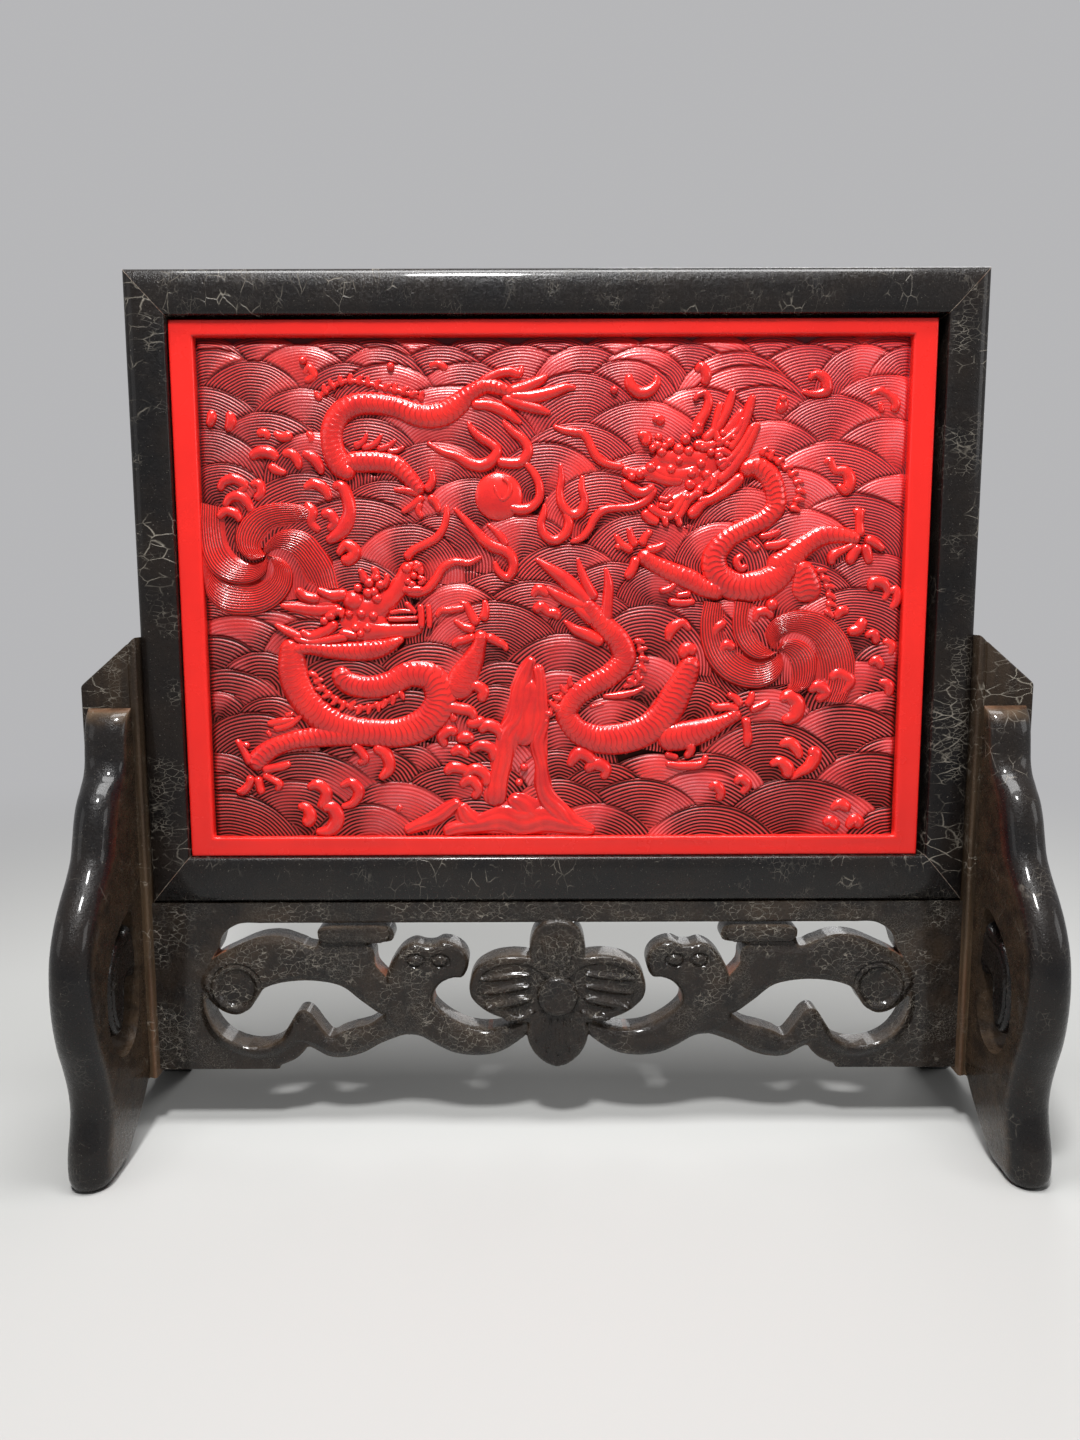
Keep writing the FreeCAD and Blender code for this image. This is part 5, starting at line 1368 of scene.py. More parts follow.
# %% Spray
CURLS_PX = (
    ((210, 408, 4), (211, 416, 5.5), (207, 425, 3.5)),
    ((228, 409, 4), (230, 420, 6), (226, 430, 4)),
    ((303, 374, 2), (308, 366, 4.5), (313, 374, 4.5), (304, 381, 3)),
    ((255, 433, 4), (263, 431, 5), (269, 437, 3)),
    ((272, 430, 3), (280, 435, 5), (292, 433, 5.5)),
    ((305, 430, 3), (310, 436, 4), (309, 443, 3)),
    ((248, 457, 4), (256, 451, 6), (268, 451, 6.5), (277, 458, 4)),
    ((267, 462, 5), (274, 468, 5), (285, 471, 2.5)),
    ((280, 452, 4), (290, 452, 5.5), (296, 460, 5), (297, 468, 3)),
    ((300, 451, 4), (310, 455, 6), (318, 466, 5), (320, 473, 2.5)),
    ((217, 489, 3.5), (222, 480, 5), (233, 477, 6), (243, 484, 4.5), (236, 491, 3)),
    ((248, 483, 4), (257, 482, 5), (259, 491, 5), (252, 498, 4)),
    ((222, 505, 3), (228, 496, 5), (237, 494, 6), (246, 502, 5), (250, 511, 3.5)),
    ((215, 516, 3), (224, 509, 5), (234, 512, 5), (238, 520, 3)),
    ((301, 487, 3), (312, 482, 6), (323, 488, 6), (328, 499, 4)),
    ((330, 486, 4), (338, 484, 6), (345, 496, 7), (347, 511, 8), (341, 526, 9), (330, 536, 6),
     (323, 540, 3)),
    ((303, 500, 3), (310, 510, 6), (309, 521, 5), (318, 530, 4)),
    ((318, 514, 5), (327, 512, 6), (332, 521, 6), (325, 529, 4)),
    ((334, 553, 3), (344, 543, 6), (352, 550, 7), (346, 558, 7), (337, 557, 4)),
    ((627, 373, 4), (628, 384, 6), (637, 392, 6), (648, 390, 6), (655, 381, 4.5), (653, 374, 2.5)),
    ((427, 366, 2.5), (438, 363, 4), (446, 370, 4)),
    ((694, 373, 3), (699, 366, 5), (704, 374, 6), (702, 386, 4)),
    ((777, 397, 4), (780, 405, 7), (774, 413, 4)),
    ((806, 380, 2.5), (813, 374, 4), (823, 380, 6), (824, 390, 6), (812, 394, 3.5), (799, 391, 2.5)),
    ((867, 396, 3), (875, 391, 4.5), (885, 395, 4.5), (893, 404, 5.5), (890, 413, 4)),
    ((877, 402, 3), (880, 413, 3)),
    ((821, 465, 3), (826, 460, 4.5), (832, 470, 4.5), (842, 471, 6), (847, 480, 7), (843, 490, 5.5),
     (834, 484, 3)),
    ((528, 596, 3), (535, 588, 6), (546, 595, 4)),
    ((530, 611, 5), (537, 605, 6), (545, 611, 5), (552, 612, 6), (555, 619, 3)),
    ((867, 591, 3), (869, 582, 6), (880, 583, 6), (884, 592, 4), (879, 601, 3)),
    ((884, 593, 3), (892, 589, 4.5), (893, 601, 5), (886, 609, 3)),
    ((831, 619, 4), (838, 610, 6), (846, 611, 4)),
    ((843, 631, 4), (854, 629, 7), (861, 617, 5)),
    ((861, 636, 3), (870, 633, 5), (873, 644, 4)),
    ((879, 640, 3), (888, 645, 5), (886, 656, 3)),
    ((865, 665, 3), (872, 660, 6), (879, 669, 4)),
    ((751, 622, 3), (754, 612, 5.5), (764, 611, 5.5), (769, 618, 3)),
    ((708, 637, 3), (714, 626, 6), (723, 621, 4)),
    ((715, 653, 3), (722, 644, 6), (732, 648, 4)),
    ((664, 641, 3), (668, 628, 7), (679, 622, 5), (687, 630, 3)),
    ((677, 658, 4), (683, 648, 8), (693, 652, 5)),
    ((804, 691, 3), (813, 686, 7), (822, 692, 7), (812, 701, 4)),
    ((825, 680, 4), (834, 673, 8), (846, 680, 7), (838, 691, 5), (826, 695, 3)),
    ((874, 681, 3), (884, 684, 6), (885, 697, 4)),
    ((775, 701, 3), (784, 696, 8), (793, 703, 9), (791, 714, 9), (777, 721, 4)),
    ((774, 745, 3), (785, 742, 7), (793, 750, 6), (796, 759, 4)),
    ((803, 750, 5), (810, 753, 8), (807, 764, 8), (796, 772, 5), (786, 779, 2.5)),
    ((765, 765, 3), (775, 761, 6), (783, 768, 8), (783, 779, 5)),
    ((703, 788, 3), (711, 785, 6), (716, 792, 6), (713, 801, 4)),
    ((730, 784, 3), (736, 778, 5.5), (743, 784, 5.5), (736, 794, 3)),
    ((825, 810, 3), (836, 804, 7), (846, 811, 5)),
    ((818, 825, 4), (826, 821, 7), (833, 830, 7)),
    ((842, 829, 4), (850, 820, 8), (858, 828, 6)),
    ((301, 787, 3), (312, 783, 7), (320, 790, 7), (318, 801, 7), (312, 807, 4)),
    ((291, 805, 4), (300, 806, 6), (304, 815, 8), (298, 825, 6)),
    ((314, 806, 5), (325, 806, 8), (331, 817, 9), (325, 828, 8), (309, 831, 3)),
    ((334, 785, 3), (346, 781, 6), (353, 790, 7), (348, 801, 5), (335, 806, 3)),
    ((391, 811, 3), (396, 803, 4)),
    ((429, 713, 5), (440, 706, 7), (455, 707, 7), (466, 710, 6), (471, 719, 4)),
    ((431, 723, 4), (441, 716, 5)),
    ((447, 711, 3), (450, 721, 5)),
    ((461, 722, 4), (470, 722, 6), (481, 718, 6)),
    ((474, 731, 4), (482, 724, 7), (494, 730, 6), (496, 741, 4)),
    ((441, 746, 4), (437, 735, 6), (445, 729, 6), (453, 733, 4)),
    ((451, 739, 4), (462, 736, 7), (470, 739, 3)),
    ((445, 753, 4), (455, 748, 6), (464, 756, 4)),
    ((465, 750, 4), (475, 744, 6), (487, 748, 7), (489, 761, 5)),
    ((439, 773, 4), (448, 766, 7), (458, 768, 6), (467, 773, 3)),
    ((457, 776, 4), (470, 768, 7), (481, 775, 7), (480, 786, 5)),
    ((454, 786, 4), (465, 778, 7), (473, 788, 6), (467, 798, 4)),
    ((461, 691, 4), (470, 684, 6), (479, 690, 7), (475, 701, 5)),
    ((547, 708, 4), (558, 707, 6), (567, 712, 4)),
    ((563, 766, 4), (575, 752, 8), (588, 760, 6), (596, 768, 3)),
    ((580, 771, 4), (590, 763, 8), (601, 769, 7), (597, 779, 4)),
)
carving("spray", [stroke(line, SPRAY_TOP, step=0.6, base=SPRAY_BASE) for line in CURLS_PX], red_relief)

# %% Rock
ROCK_PX = (
    ((529, 655, 5), (521, 672, 10), (516, 695, 13), (512, 716, 13), (503, 738, 13), (497, 760, 12),
     (492, 785, 12), (486, 806, 14)),
    ((533, 662, 7), (536, 690, 8), (537, 715, 9), (534, 740, 10), (536, 762, 8), (538, 785, 10),
     (547, 805, 13), (564, 820, 12), (590, 831, 6)),
    ((527, 676, 11), (525, 705, 15), (520, 730, 15), (514, 745, 12)),
    ((503, 795, 9), (514, 803, 14), (524, 812, 20), (538, 818, 18)),
    ((436, 831, 8), (475, 822, 12), (510, 817, 19), (548, 820, 15), (590, 831, 7)),
    ((398, 830, 5), (425, 819, 9), (443, 808, 9), (455, 799, 5)),
    ((455, 801, 6), (460, 815, 12), (478, 826, 11)),
    ((523, 660, 4), (517, 690, 5), (508, 722, 5), (500, 745, 4)),
)
carving("rock", [stroke(line, SPRAY_TOP, 56, 0.7, furrowed) for line in ROCK_PX], red_relief)

# %% [markdown]
# ## Carved boards
# The apron is one board, pierced and carved into scrolls, a strap and a flower. Its outlines could
# be filled curves with a bevel, but then every edge would get the same round. Instead the board is
# a height map on an even grid: for each point the distance to each outline is worked out, and each
# form turns that distance into its own section, a chamfer or a round back. Where forms cross, the
# higher one wins, as it does for the carver. Quads off the wood are dropped, and points along the
# edge slide onto the outline, so the piercings come out smooth.

# %% Distances to outlines
POINTS_PER_SPAN = 10


def closed_curve(points):
    """A smooth closed line through points: a cubic between neighbours, with slopes that are half the
    step from the point before to the point after."""
    p = np.asarray(points, float)
    slope = (np.roll(p, -1, 0) - np.roll(p, 1, 0)) / 2
    u = np.linspace(0, 1, POINTS_PER_SPAN, endpoint=False)[None, :, None]
    ends = (q[:, None] for q in (p, np.roll(p, -1, 0), slope, np.roll(slope, -1, 0)))
    return cubic(*ends, u).reshape(-1, 2)


def open_curve(points):
    """A smooth open line through points."""
    p = np.asarray(points, float)
    step = np.hypot(*np.diff(p, axis=0).T).mean() / POINTS_PER_SPAN
    return even(smooth(p, step), POINTS_PER_SPAN * (len(p) - 1) + 1)


def to_segments(u, v, line):
    """Distance from each point to a chain of segments: the least over all of the distance to the
    nearest place on the segment, which is the foot of the perpendicular held between its ends."""
    a, b = line[:-1], line[1:]
    step = b - a
    length = (step ** 2).sum(1) + 1e-12
    best = np.full(u.shape, 1e9)
    for (x0, y0), (dx, dy), square in zip(a, step, length):
        t = np.clip(((u - x0) * dx + (v - y0) * dy) / square, 0, 1)
        best = np.minimum(best, (u - x0 - t * dx) ** 2 + (v - y0 - t * dy) ** 2)
    return np.sqrt(best)


OUTLINE_REACH = 6.0


def inside_outline(u, v, outline):
    """Distance to a closed outline, positive inside, and held at the reach far outside. A point is
    inside if a ray from it crosses the outline an odd number of times."""
    line = np.vstack((outline, outline[:1]))
    (u0, v0), (u1, v1) = line.min(0) - OUTLINE_REACH, line.max(0) + OUTLINE_REACH
    near = (u > u0) & (u < u1) & (v > v0) & (v < v1)
    result = np.full(u.shape, -OUTLINE_REACH)
    un, vn = u[near], v[near]
    odd = np.zeros(un.shape, bool)
    for (x0, y0), (x1, y1) in zip(line[:-1], line[1:]):
        if y0 != y1:
            odd ^= ((y0 > vn) != (y1 > vn)) & (un < x0 + (vn - y0) * (x1 - x0) / (y1 - y0))
    result[near] = np.where(odd, 1, -1) * to_segments(un, vn, line)
    return result


# %% Sections of a carved edge
def chamfer(d, width, drop):
    """The drop near an edge: straight up over the width, then level."""
    return -drop * np.clip(1 - d / width, 0, 1)


def round_back(d, radius):
    """The drop of a quarter circle from the edge up to the radius."""
    e = np.clip(1 - d / radius, 0, 1)
    return -radius * (1 - np.sqrt(1 - e * e))


def hump(distance, half, height):
    """A rounded hump along a line: height * (1 - (distance / half)^2)^2, and 0 beyond the half width."""
    return height * np.clip(1 - (distance / half) ** 2, 0, 1) ** 2


RIM_PULL = 1.5  # rim points further from the outline than this many pitches stay where they are


def carved_sheet(u_range, v_range, pitch, relief, back):
    """A board from a relief function that gives (inside distance, height, tone) at points u, v. The front
    is the relief, the back a plane at the height given, or the mirrored relief where back is None, and
    walls join the two along every edge. Returns u, v, height, quads and tone."""
    rows = int(round((u_range[1] - u_range[0]) / pitch)) + 1
    columns = int(round((v_range[1] - v_range[0]) / pitch)) + 1
    u, v = np.meshgrid(np.linspace(*u_range, rows), np.linspace(*v_range, columns), indexing="ij")
    inside, _, _ = relief(u, v)
    gu, gv = np.gradient(inside, u[1, 0] - u[0, 0], v[0, 1] - v[0, 0])
    quads = grid_quads(rows, columns)
    quads = quads[inside.ravel()[quads].mean(1) > 0]
    edges = np.concatenate([quads[:, [k, (k + 1) % 4]] for k in range(4)])
    total = rows * columns
    keys = np.sort(edges, 1) @ (total, 1)
    _, index, count = np.unique(keys, return_index=True, return_counts=True)
    rim = edges[index[count == 1]]
    on_rim = np.zeros(total, bool)
    on_rim[rim] = True
    pull = np.where(on_rim & (np.abs(inside.ravel()) < RIM_PULL * pitch), inside.ravel(), 0)
    size = np.hypot(gu, gv).ravel() + 1e-9
    u = np.clip(u.ravel() - pull * gu.ravel() / size, *u_range)
    v = np.clip(v.ravel() - pull * gv.ravel() / size, *v_range)
    _, height, tone = relief(u, v)
    other = -height if back is None else np.full(height.shape, back)
    wall = np.hstack((rim[:, ::-1], rim + total))
    quads = np.concatenate((quads, quads[:, ::-1] + total, wall))
    used, new = np.unique(quads, return_inverse=True)
    quads = new.reshape(quads.shape)
    u, v = np.tile(u, 2)[used], np.tile(v, 2)[used]
    return u, v, np.concatenate((height, other))[used], quads, np.concatenate((tone, tone))[used]


# %% [markdown]
# ## The apron
# The shares of the outlines are those of the CAD model, so the carved board fits between the same
# posts and leaves the same openings. The right half is carved, and the left half is its mirror.

# %% Outlines of the apron, as shares of its half width and its height
APRON_HALF, APRON_HEIGHT = 200.0, 86.0
APRON_LOW, APRON_TOP = 30.5, 116.5
APRON_FRONT, APRON_BACK = -11.0, 2.0
APRON_PITCH = 0.55
OPENING_SHARES = (
    (0.726, 0.880), (0.795, 0.870), (0.828, 0.815), (0.842, 0.730), (0.866, 0.630), (0.876, 0.500),
    (0.876, 0.380), (0.860, 0.280), (0.832, 0.200), (0.796, 0.155), (0.752, 0.138), (0.710, 0.158),
    (0.678, 0.212),
)
WING_SHARES = ((0.660, 0.300), (0.626, 0.150), (0.652, 0.070), (0.700, 0.016))
ARM_SHARES = (
    (0.886, 0.590), (0.856, 0.672), (0.800, 0.740), (0.742, 0.795), (0.688, 0.802), (0.640, 0.765),
    (0.600, 0.735), (0.470, 0.735), (0.450, 0.620), (0.410, 0.500), (0.400, 0.330), (0.440, 0.330),
    (0.490, 0.410), (0.540, 0.500), (0.610, 0.533), (0.680, 0.525), (0.730, 0.490), (0.748, 0.440),
    (0.768, 0.370), (0.801, 0.330), (0.838, 0.352), (0.870, 0.420), (0.892, 0.500),
)
HEAD_SHARES = (
    (0.592, 0.690), (0.592, 0.790), (0.584, 0.855), (0.500, 0.862), (0.428, 0.858), (0.408, 0.825),
    (0.412, 0.770), (0.455, 0.752), (0.478, 0.730), (0.484, 0.660),
)
TREFOIL_SHARES = (
    (0.436, 0.300), (0.430, 0.450), (0.428, 0.560), (0.412, 0.650), (0.388, 0.722), (0.358, 0.758),
    (0.330, 0.745), (0.308, 0.745), (0.282, 0.768), (0.248, 0.745), (0.226, 0.690), (0.222, 0.620),
    (0.236, 0.550), (0.262, 0.542), (0.290, 0.512), (0.308, 0.455), (0.306, 0.390), (0.274, 0.318),
    (0.230, 0.262), (0.180, 0.240), (0.130, 0.252), (0.080, 0.290), (0.072, 0.220), (0.110, 0.140),
    (0.150, 0.090), (0.200, 0.072), (0.255, 0.086), (0.300, 0.132), (0.345, 0.190), (0.400, 0.215),
)
BAND_SHARES = (
    (0.690, 0.160), (0.660, 0.310), (0.640, 0.352), (0.618, 0.330), (0.592, 0.245), (0.570, 0.190),
    (0.545, 0.215), (0.515, 0.240), (0.470, 0.270), (0.420, 0.340), (0.360, 0.320), (0.350, 0.230),
    (0.400, 0.190), (0.445, 0.148), (0.485, 0.096), (0.530, 0.066), (0.575, 0.070), (0.625, 0.130),
)
SIDE_PETAL_SHARES = (
    (0.000, 0.560), (0.060, 0.672), (0.115, 0.688), (0.168, 0.662), (0.205, 0.600), (0.219, 0.520),
    (0.216, 0.440), (0.190, 0.370), (0.140, 0.310), (0.080, 0.280), (0.000, 0.330),
)
TOP_PETAL_SHARES = ((0.0, 0.5), (0.066, 0.65), (0.068, 0.76), (0.052, 0.85), (0.034, 0.882), (0.0, 0.9))
LOW_PETAL_SHARES = ((0.0, 0.4), (0.07, 0.3), (0.076, 0.2), (0.056, 0.09), (0.02, 0.024), (0.0, 0.01))
CRESCENT_SHARES = (
    (0.868, 0.440), (0.868, 0.330), (0.842, 0.210), (0.798, 0.140), (0.750, 0.112), (0.704, 0.135),
    (0.668, 0.200), (0.650, 0.300),
)
HORN_SHARES = ((0.080, 0.240), (0.130, 0.190), (0.200, 0.150), (0.265, 0.180), (0.320, 0.260), (0.350, 0.330))
FLOWER_CENTRE = (0.0, APRON_LOW + 0.45 * APRON_HEIGHT)
BOSS_RADIUS, BOSS_LEVEL = 10.0, 4.0
DISC_CENTRE, DISC_RADIUS = (160.0, 73.0), 9.5
LOBES, LOBE_STRETCH = ((58.5, 87.0), (70.5, 87.0)), 1.5
ROLL_HALF = 4.6
NO_WOOD = -9.0


def on_apron(shares):
    """Shares of the half width and the height as x and z in mm."""
    return np.asarray(shares, float) * (APRON_HALF, APRON_HEIGHT) + (0, APRON_LOW)


def mirrored_outline(half):
    """A petal's outline: its right half, and the same points on the left in reverse."""
    line = open_curve(on_apron(half))
    return np.vstack((line, line[::-1] * (-1, 1)))


def board_outline():
    """The half board: along the opening, down the wing, under the end block, up the end and along the
    top. Past the board's own edges the line runs outside them, because the sheet ends there."""
    rim, wing = open_curve(on_apron(OPENING_SHARES)), open_curve(on_apron(WING_SHARES))
    left, right, under, over = -12.0, APRON_HALF + 9, APRON_LOW - 2, APRON_TOP + 2
    corners = ((right, under), (right, over), (left, over))
    return np.vstack(((left, rim[0, 1]), rim, wing, (wing[-1, 0], under), corners))


CURVES = {
    "board": board_outline(),
    "arm": closed_curve(on_apron(ARM_SHARES)),
    "head": closed_curve(on_apron(HEAD_SHARES)),
    "trefoil": closed_curve(on_apron(TREFOIL_SHARES)),
    "band": closed_curve(on_apron(BAND_SHARES)),
    "side_petal": mirrored_outline(SIDE_PETAL_SHARES),
    "top_petal": mirrored_outline(TOP_PETAL_SHARES),
    "low_petal": mirrored_outline(LOW_PETAL_SHARES),
}
CRESCENT = open_curve(on_apron(CRESCENT_SHARES))
HORN = open_curve(on_apron(HORN_SHARES))
HEAD_ROLL = on_apron(((0.440, 0.815), (0.572, 0.815)))
# Ridges of the petals, from the flower's centre: start, end, half width and height
SIDE_RIDGES = (
    ((14, 11.0), (38, 8.5), 2.6, 1.7), ((14, 5.0), (37, 1.5), 2.8, 1.9),
    ((14, -1.5), (35, -5.5), 3.8, 2.6), ((12, -8.5), (26, -13.0), 2.8, 1.9),
)
TOP_RIDGES = (
    ((0, 13), (0, 31), 1.8, 1.1), ((4.5, 13), (7.5, 28), 1.8, 1.3), ((8.5, 14), (11, 22), 1.5, 0.9),
)
LOW_RIDGES = (
    ((0, -12), (0, -31), 1.2, 0.8), ((3.4, -12), (5.5, -29), 1.2, 0.9), ((6.6, -12), (10.5, -24), 1.3, 0.9),
)
# Petals: level of the rim, depth of the hollow, where it starts and over what distance, and ridges
PETALS = {
    "side_petal": (1.6, 1.1, 3.6, 1.2, SIDE_RIDGES),
    "top_petal": (1.6, 0.8, 2.2, 1.5, TOP_RIDGES),
    "low_petal": (1.8, 0.5, 2.0, 1.5, LOW_RIDGES),
}
# Places where the ground coat shows on the cut faces of the piercings: start, end and reach
BARE_CUTS = (
    ((88, 84), (82, 74), 5.5), ((58, 68), (34, 56), 5.0), ((174, 86), (167, 88), 4.5),
    ((106, 58), (112, 52), 3.0),
)


def petal_ridges(x, z, ridges):
    """Lens-shaped humps along short lines that are given from the flower's centre: at the share t of the
    way along, the half width is half * (0.35 + 0.65 * (4 t (1 - t))^(1/2))."""
    added = np.zeros(x.shape)
    for start, end, half, height in ridges:
        line = np.array((start, end), float) + FLOWER_CENTRE
        dx, dz = line[1] - line[0]
        t = np.clip(((x - line[0, 0]) * dx + (z - line[0, 1]) * dz) / (dx * dx + dz * dz), 0, 1)
        wide = half * (0.35 + 0.65 * np.sqrt(4 * t * (1 - t)))
        added = np.maximum(added, hump(to_segments(x, z, line), wide, height))
    return added


def apron_wear(x, z, inside):
    """The wear: more towards the edges, and on the cut faces that lie near one of the bare places the
    ground coat."""
    wear = 0.05 + 0.24 * np.clip(1 - inside / 1.6, 0, 1)
    for start, end, reach in BARE_CUTS:
        near = to_segments(x, z, np.array((start, end), float)) < reach
        wear = np.where(near & (inside < 0.25), 0.88, wear)
    return wear


def off(x, z, centre):
    """Distance of each point from a centre."""
    return np.hypot(x - centre[0], z - centre[1])


def apron_levels(x, z, d):
    """The height of each form from the inside distances d to their outlines."""
    levels = {"board": chamfer(d["board"], 1.0, 0.8) - 0.8 + hump(to_segments(x, z, CRESCENT), 4.6, 2.0)}
    off_disc = off(x, z, DISC_CENTRE)
    dish = chamfer(d["arm"], 1.0, 0.6) - 0.4 - 1.3 * np.clip((DISC_RADIUS - off_disc) / 0.8, 0, 1)
    dish = dish + hump(off_disc - DISC_RADIUS - 1.6, 1.8, 0.8)
    levels["arm"] = np.where(off_disc < DISC_RADIUS + 3.4, dish, chamfer(d["arm"], 3.4, 2.0) + 0.4)
    off_roll = to_segments(x, z, HEAD_ROLL)
    roll = 1.6 * np.sqrt(np.clip(1 - (off_roll / ROLL_HALF) ** 2, 0, 1)) - 0.6
    stem = chamfer(d["head"], 2.0, 1.2) - 1.8 + 0.07 * np.clip(z - 92, 0, 8)
    levels["head"] = np.where(off_roll < ROLL_HALF, roll, stem)
    lobes = np.minimum(*(np.hypot((x - lx) / LOBE_STRETCH, z - lz) for lx, lz in LOBES))
    dimples = hump(lobes, 2.8, 1.1) - hump(np.abs(lobes - 3.0), 1.0, 1.0)
    horn = hump(to_segments(x, z, HORN), 8.5, 1.0)
    levels["trefoil"] = round_back(d["trefoil"], 4.0) + 0.6 + dimples + horn
    levels["band"] = chamfer(d["band"], 3.6, 2.2)
    for name, (level, depth, start, over, ridges) in PETALS.items():
        hollow = depth * np.clip((d[name] - start) / over, 0, 1)
        levels[name] = round_back(d[name], 2.5) + level - hollow + petal_ridges(x, z, ridges)
    return levels


def apron_relief(x, z):
    """Each form gives its level where it is wood; the highest one is the surface."""
    d = {name: inside_outline(x, z, line) for name, line in CURVES.items()}
    off_boss = off(x, z, FLOWER_CENTRE)
    boss = BOSS_LEVEL + hump(off_boss - 8.2, 1.8, 0.5) - 0.9 * np.clip((off_boss - 8.6) / 1.4, 0, 1) ** 2
    height = np.where(off_boss < BOSS_RADIUS, boss, NO_WOOD)
    for name, level in apron_levels(x, z, d).items():
        height = np.where(d[name] > -0.6, np.maximum(height, level), height)
    inside = np.maximum.reduce([*d.values(), BOSS_RADIUS - off_boss])
    return inside, height, apron_wear(x, z, inside)


def apron_half(side):
    """The carved half board on one side of the middle, as a closed form in mm."""
    x, z, height, quads, tone = carved_sheet(
        (0.0, APRON_HALF), (APRON_LOW, APRON_TOP), APRON_PITCH, apron_relief, APRON_FRONT - APRON_BACK
    )
    points = np.column_stack((side * x, APRON_FRONT - height, z))
    return outward((points, quads, tone))


def stand_piece(name, form, finish, replaced):
    """A piece of the stand, with its sharp edges kept."""
    piece(name, [form], finish, "stand", [replaced], sharp=True)


for side, name in ((1, "apron_right_half"), (-1, "apron_left_half")):
    stand_piece(name, apron_half(side), apron_black, "pierced_apron")

# %% [markdown]
# ## The legs
# A leg is a plank sawn to an S and rounded over its whole front edge, so that it reflects one long
# streak of light. A section is carried down from the top: it reaches from the back line of the
# leg, against the post and under the foot, to its front line, and its front end is a half round.
# A boolean cut makes the piercing, and the curl that hangs in it is a small carved board of its own.

# %% Outlines of a leg, as shares of its reach and its height
LEG_REACH, LEG_HEIGHT, LEG_THICKNESS = 64.0, 214.0, 20.0
LEG_MIDDLE = 213.5
LEG_ROUND = 2.15  # power of the superellipse across the front
NOSE_MOST, NOSE_SHARE = 11.0, 0.45
HEEL_ROUND, HEEL_FREE_BELOW = 3.0, 34.0
HEEL_GROW, SOLE_GROW = 8.0, 4.0  # heights over which the round of the heel begins and ends
SOLE_PINCH, SOLE_HEIGHT = 0.28, 7.0
CURL_LEVEL, CURL_ROUND, CURL_PITCH = 8.4, 5.0, 0.8
CURL_OUT, CURL_UP = (4.0, 40.0), (58.0, 118.0)  # what the curl's sheet spans: out from the post, and up
# Wear at the top of a leg and along its sides: where it starts, over what distance, and its most
TOP_WEAR, SIDE_WEAR = (206.0, 7.0, 0.56), (9.0, 0.8, 0.22)
POST_FRONT = -15.0
LEG_FRONT_SHARES = (
    (0.000, 1.000), (0.060, 0.996), (0.115, 0.982), (0.158, 0.955), (0.182, 0.918), (0.205, 0.885),
    (0.250, 0.862), (0.330, 0.842), (0.415, 0.815), (0.478, 0.778), (0.520, 0.738), (0.565, 0.700),
    (0.650, 0.664), (0.760, 0.628), (0.880, 0.580), (0.967, 0.523), (1.000, 0.458), (0.990, 0.393),
    (0.942, 0.327), (0.870, 0.271), (0.816, 0.218), (0.802, 0.173), (0.835, 0.128), (0.878, 0.088),
    (0.893, 0.045), (0.868, 0.008), (0.835, 0.000),
)
LEG_BACK_SHARES = (
    (0.000, 1.000), (0.000, 0.850), (0.000, 0.700), (0.000, 0.550), (0.000, 0.400), (0.000, 0.250),
    (0.000, 0.131), (0.180, 0.078), (0.380, 0.034), (0.560, 0.000),
)
LEG_HOLE_SHARES = (
    (0.150, 0.500), (0.205, 0.552), (0.330, 0.548), (0.520, 0.508), (0.655, 0.450), (0.690, 0.380),
    (0.650, 0.312), (0.540, 0.262), (0.400, 0.246), (0.250, 0.262), (0.150, 0.310), (0.115, 0.400),
)
LEG_CURL_SHARES = (
    (0.040, 0.560), (0.210, 0.505), (0.400, 0.492), (0.530, 0.450), (0.580, 0.385), (0.540, 0.325),
    (0.450, 0.292), (0.350, 0.300), (0.290, 0.345), (0.270, 0.390), (0.180, 0.400), (0.040, 0.395),
)


def on_leg(shares):
    """Shares as distance in front of the post and height above the table, in mm."""
    return np.asarray(shares, float) * (LEG_REACH, LEG_HEIGHT)


def leg_body():
    """Across the leg x = q * half thickness. Front end = reach - R + R * (1 - |q|^2.15)^(1/2.15); the back
    is flat against the post and gets a small round where it is free, below the post. The foot is drawn
    in a little towards the sole."""
    rungs = 150
    front, back = (even(smooth(on_leg(line), 0.6), rungs) for line in (LEG_FRONT_SHARES, LEG_BACK_SHARES))
    for line in (front, back):
        line[-1, 1] = 0.0
        line[:, 1] = np.maximum(line[:, 1], 0.0)
    reach = np.hypot(*(front - back).T)
    toward = (front - back) / (reach[:, None] + 1e-9)
    q = np.sin(np.linspace(-np.pi / 2, np.pi / 2, 27))
    dome = (1 - np.abs(q) ** LEG_ROUND) ** (1 / LEG_ROUND)
    nose = np.minimum(NOSE_MOST, NOSE_SHARE * reach)[:, None]
    tip = reach[:, None] - nose + nose * dome
    free = np.clip((HEEL_FREE_BELOW - back[:, 1]) / HEEL_GROW, 0, 1) * np.clip(back[:, 1] / SOLE_GROW, 0, 1)
    heel = (HEEL_ROUND * free)[:, None] * (1 - dome)
    share = np.hstack((tip, heel[:, ::-1]))
    out = back[:, None] + toward[:, None] * share[..., None]
    height = np.maximum(out[..., 1], 0.0)
    across = np.concatenate((q, q[::-1])) * LEG_THICKNESS / 2
    across = across * (1 - SOLE_PINCH * np.clip(1 - height / SOLE_HEIGHT, 0, 1) ** 2)
    points = np.dstack((across, POST_FRONT - out[..., 0], height))
    sole = points[-1:]
    points = np.concatenate((points, sole.mean(1, keepdims=True) + 0 * sole))
    quads = grid_quads(*points.shape[:2], wrap=True)
    return outward((points.reshape(-1, 3), quads, np.zeros(points[..., 0].size)))


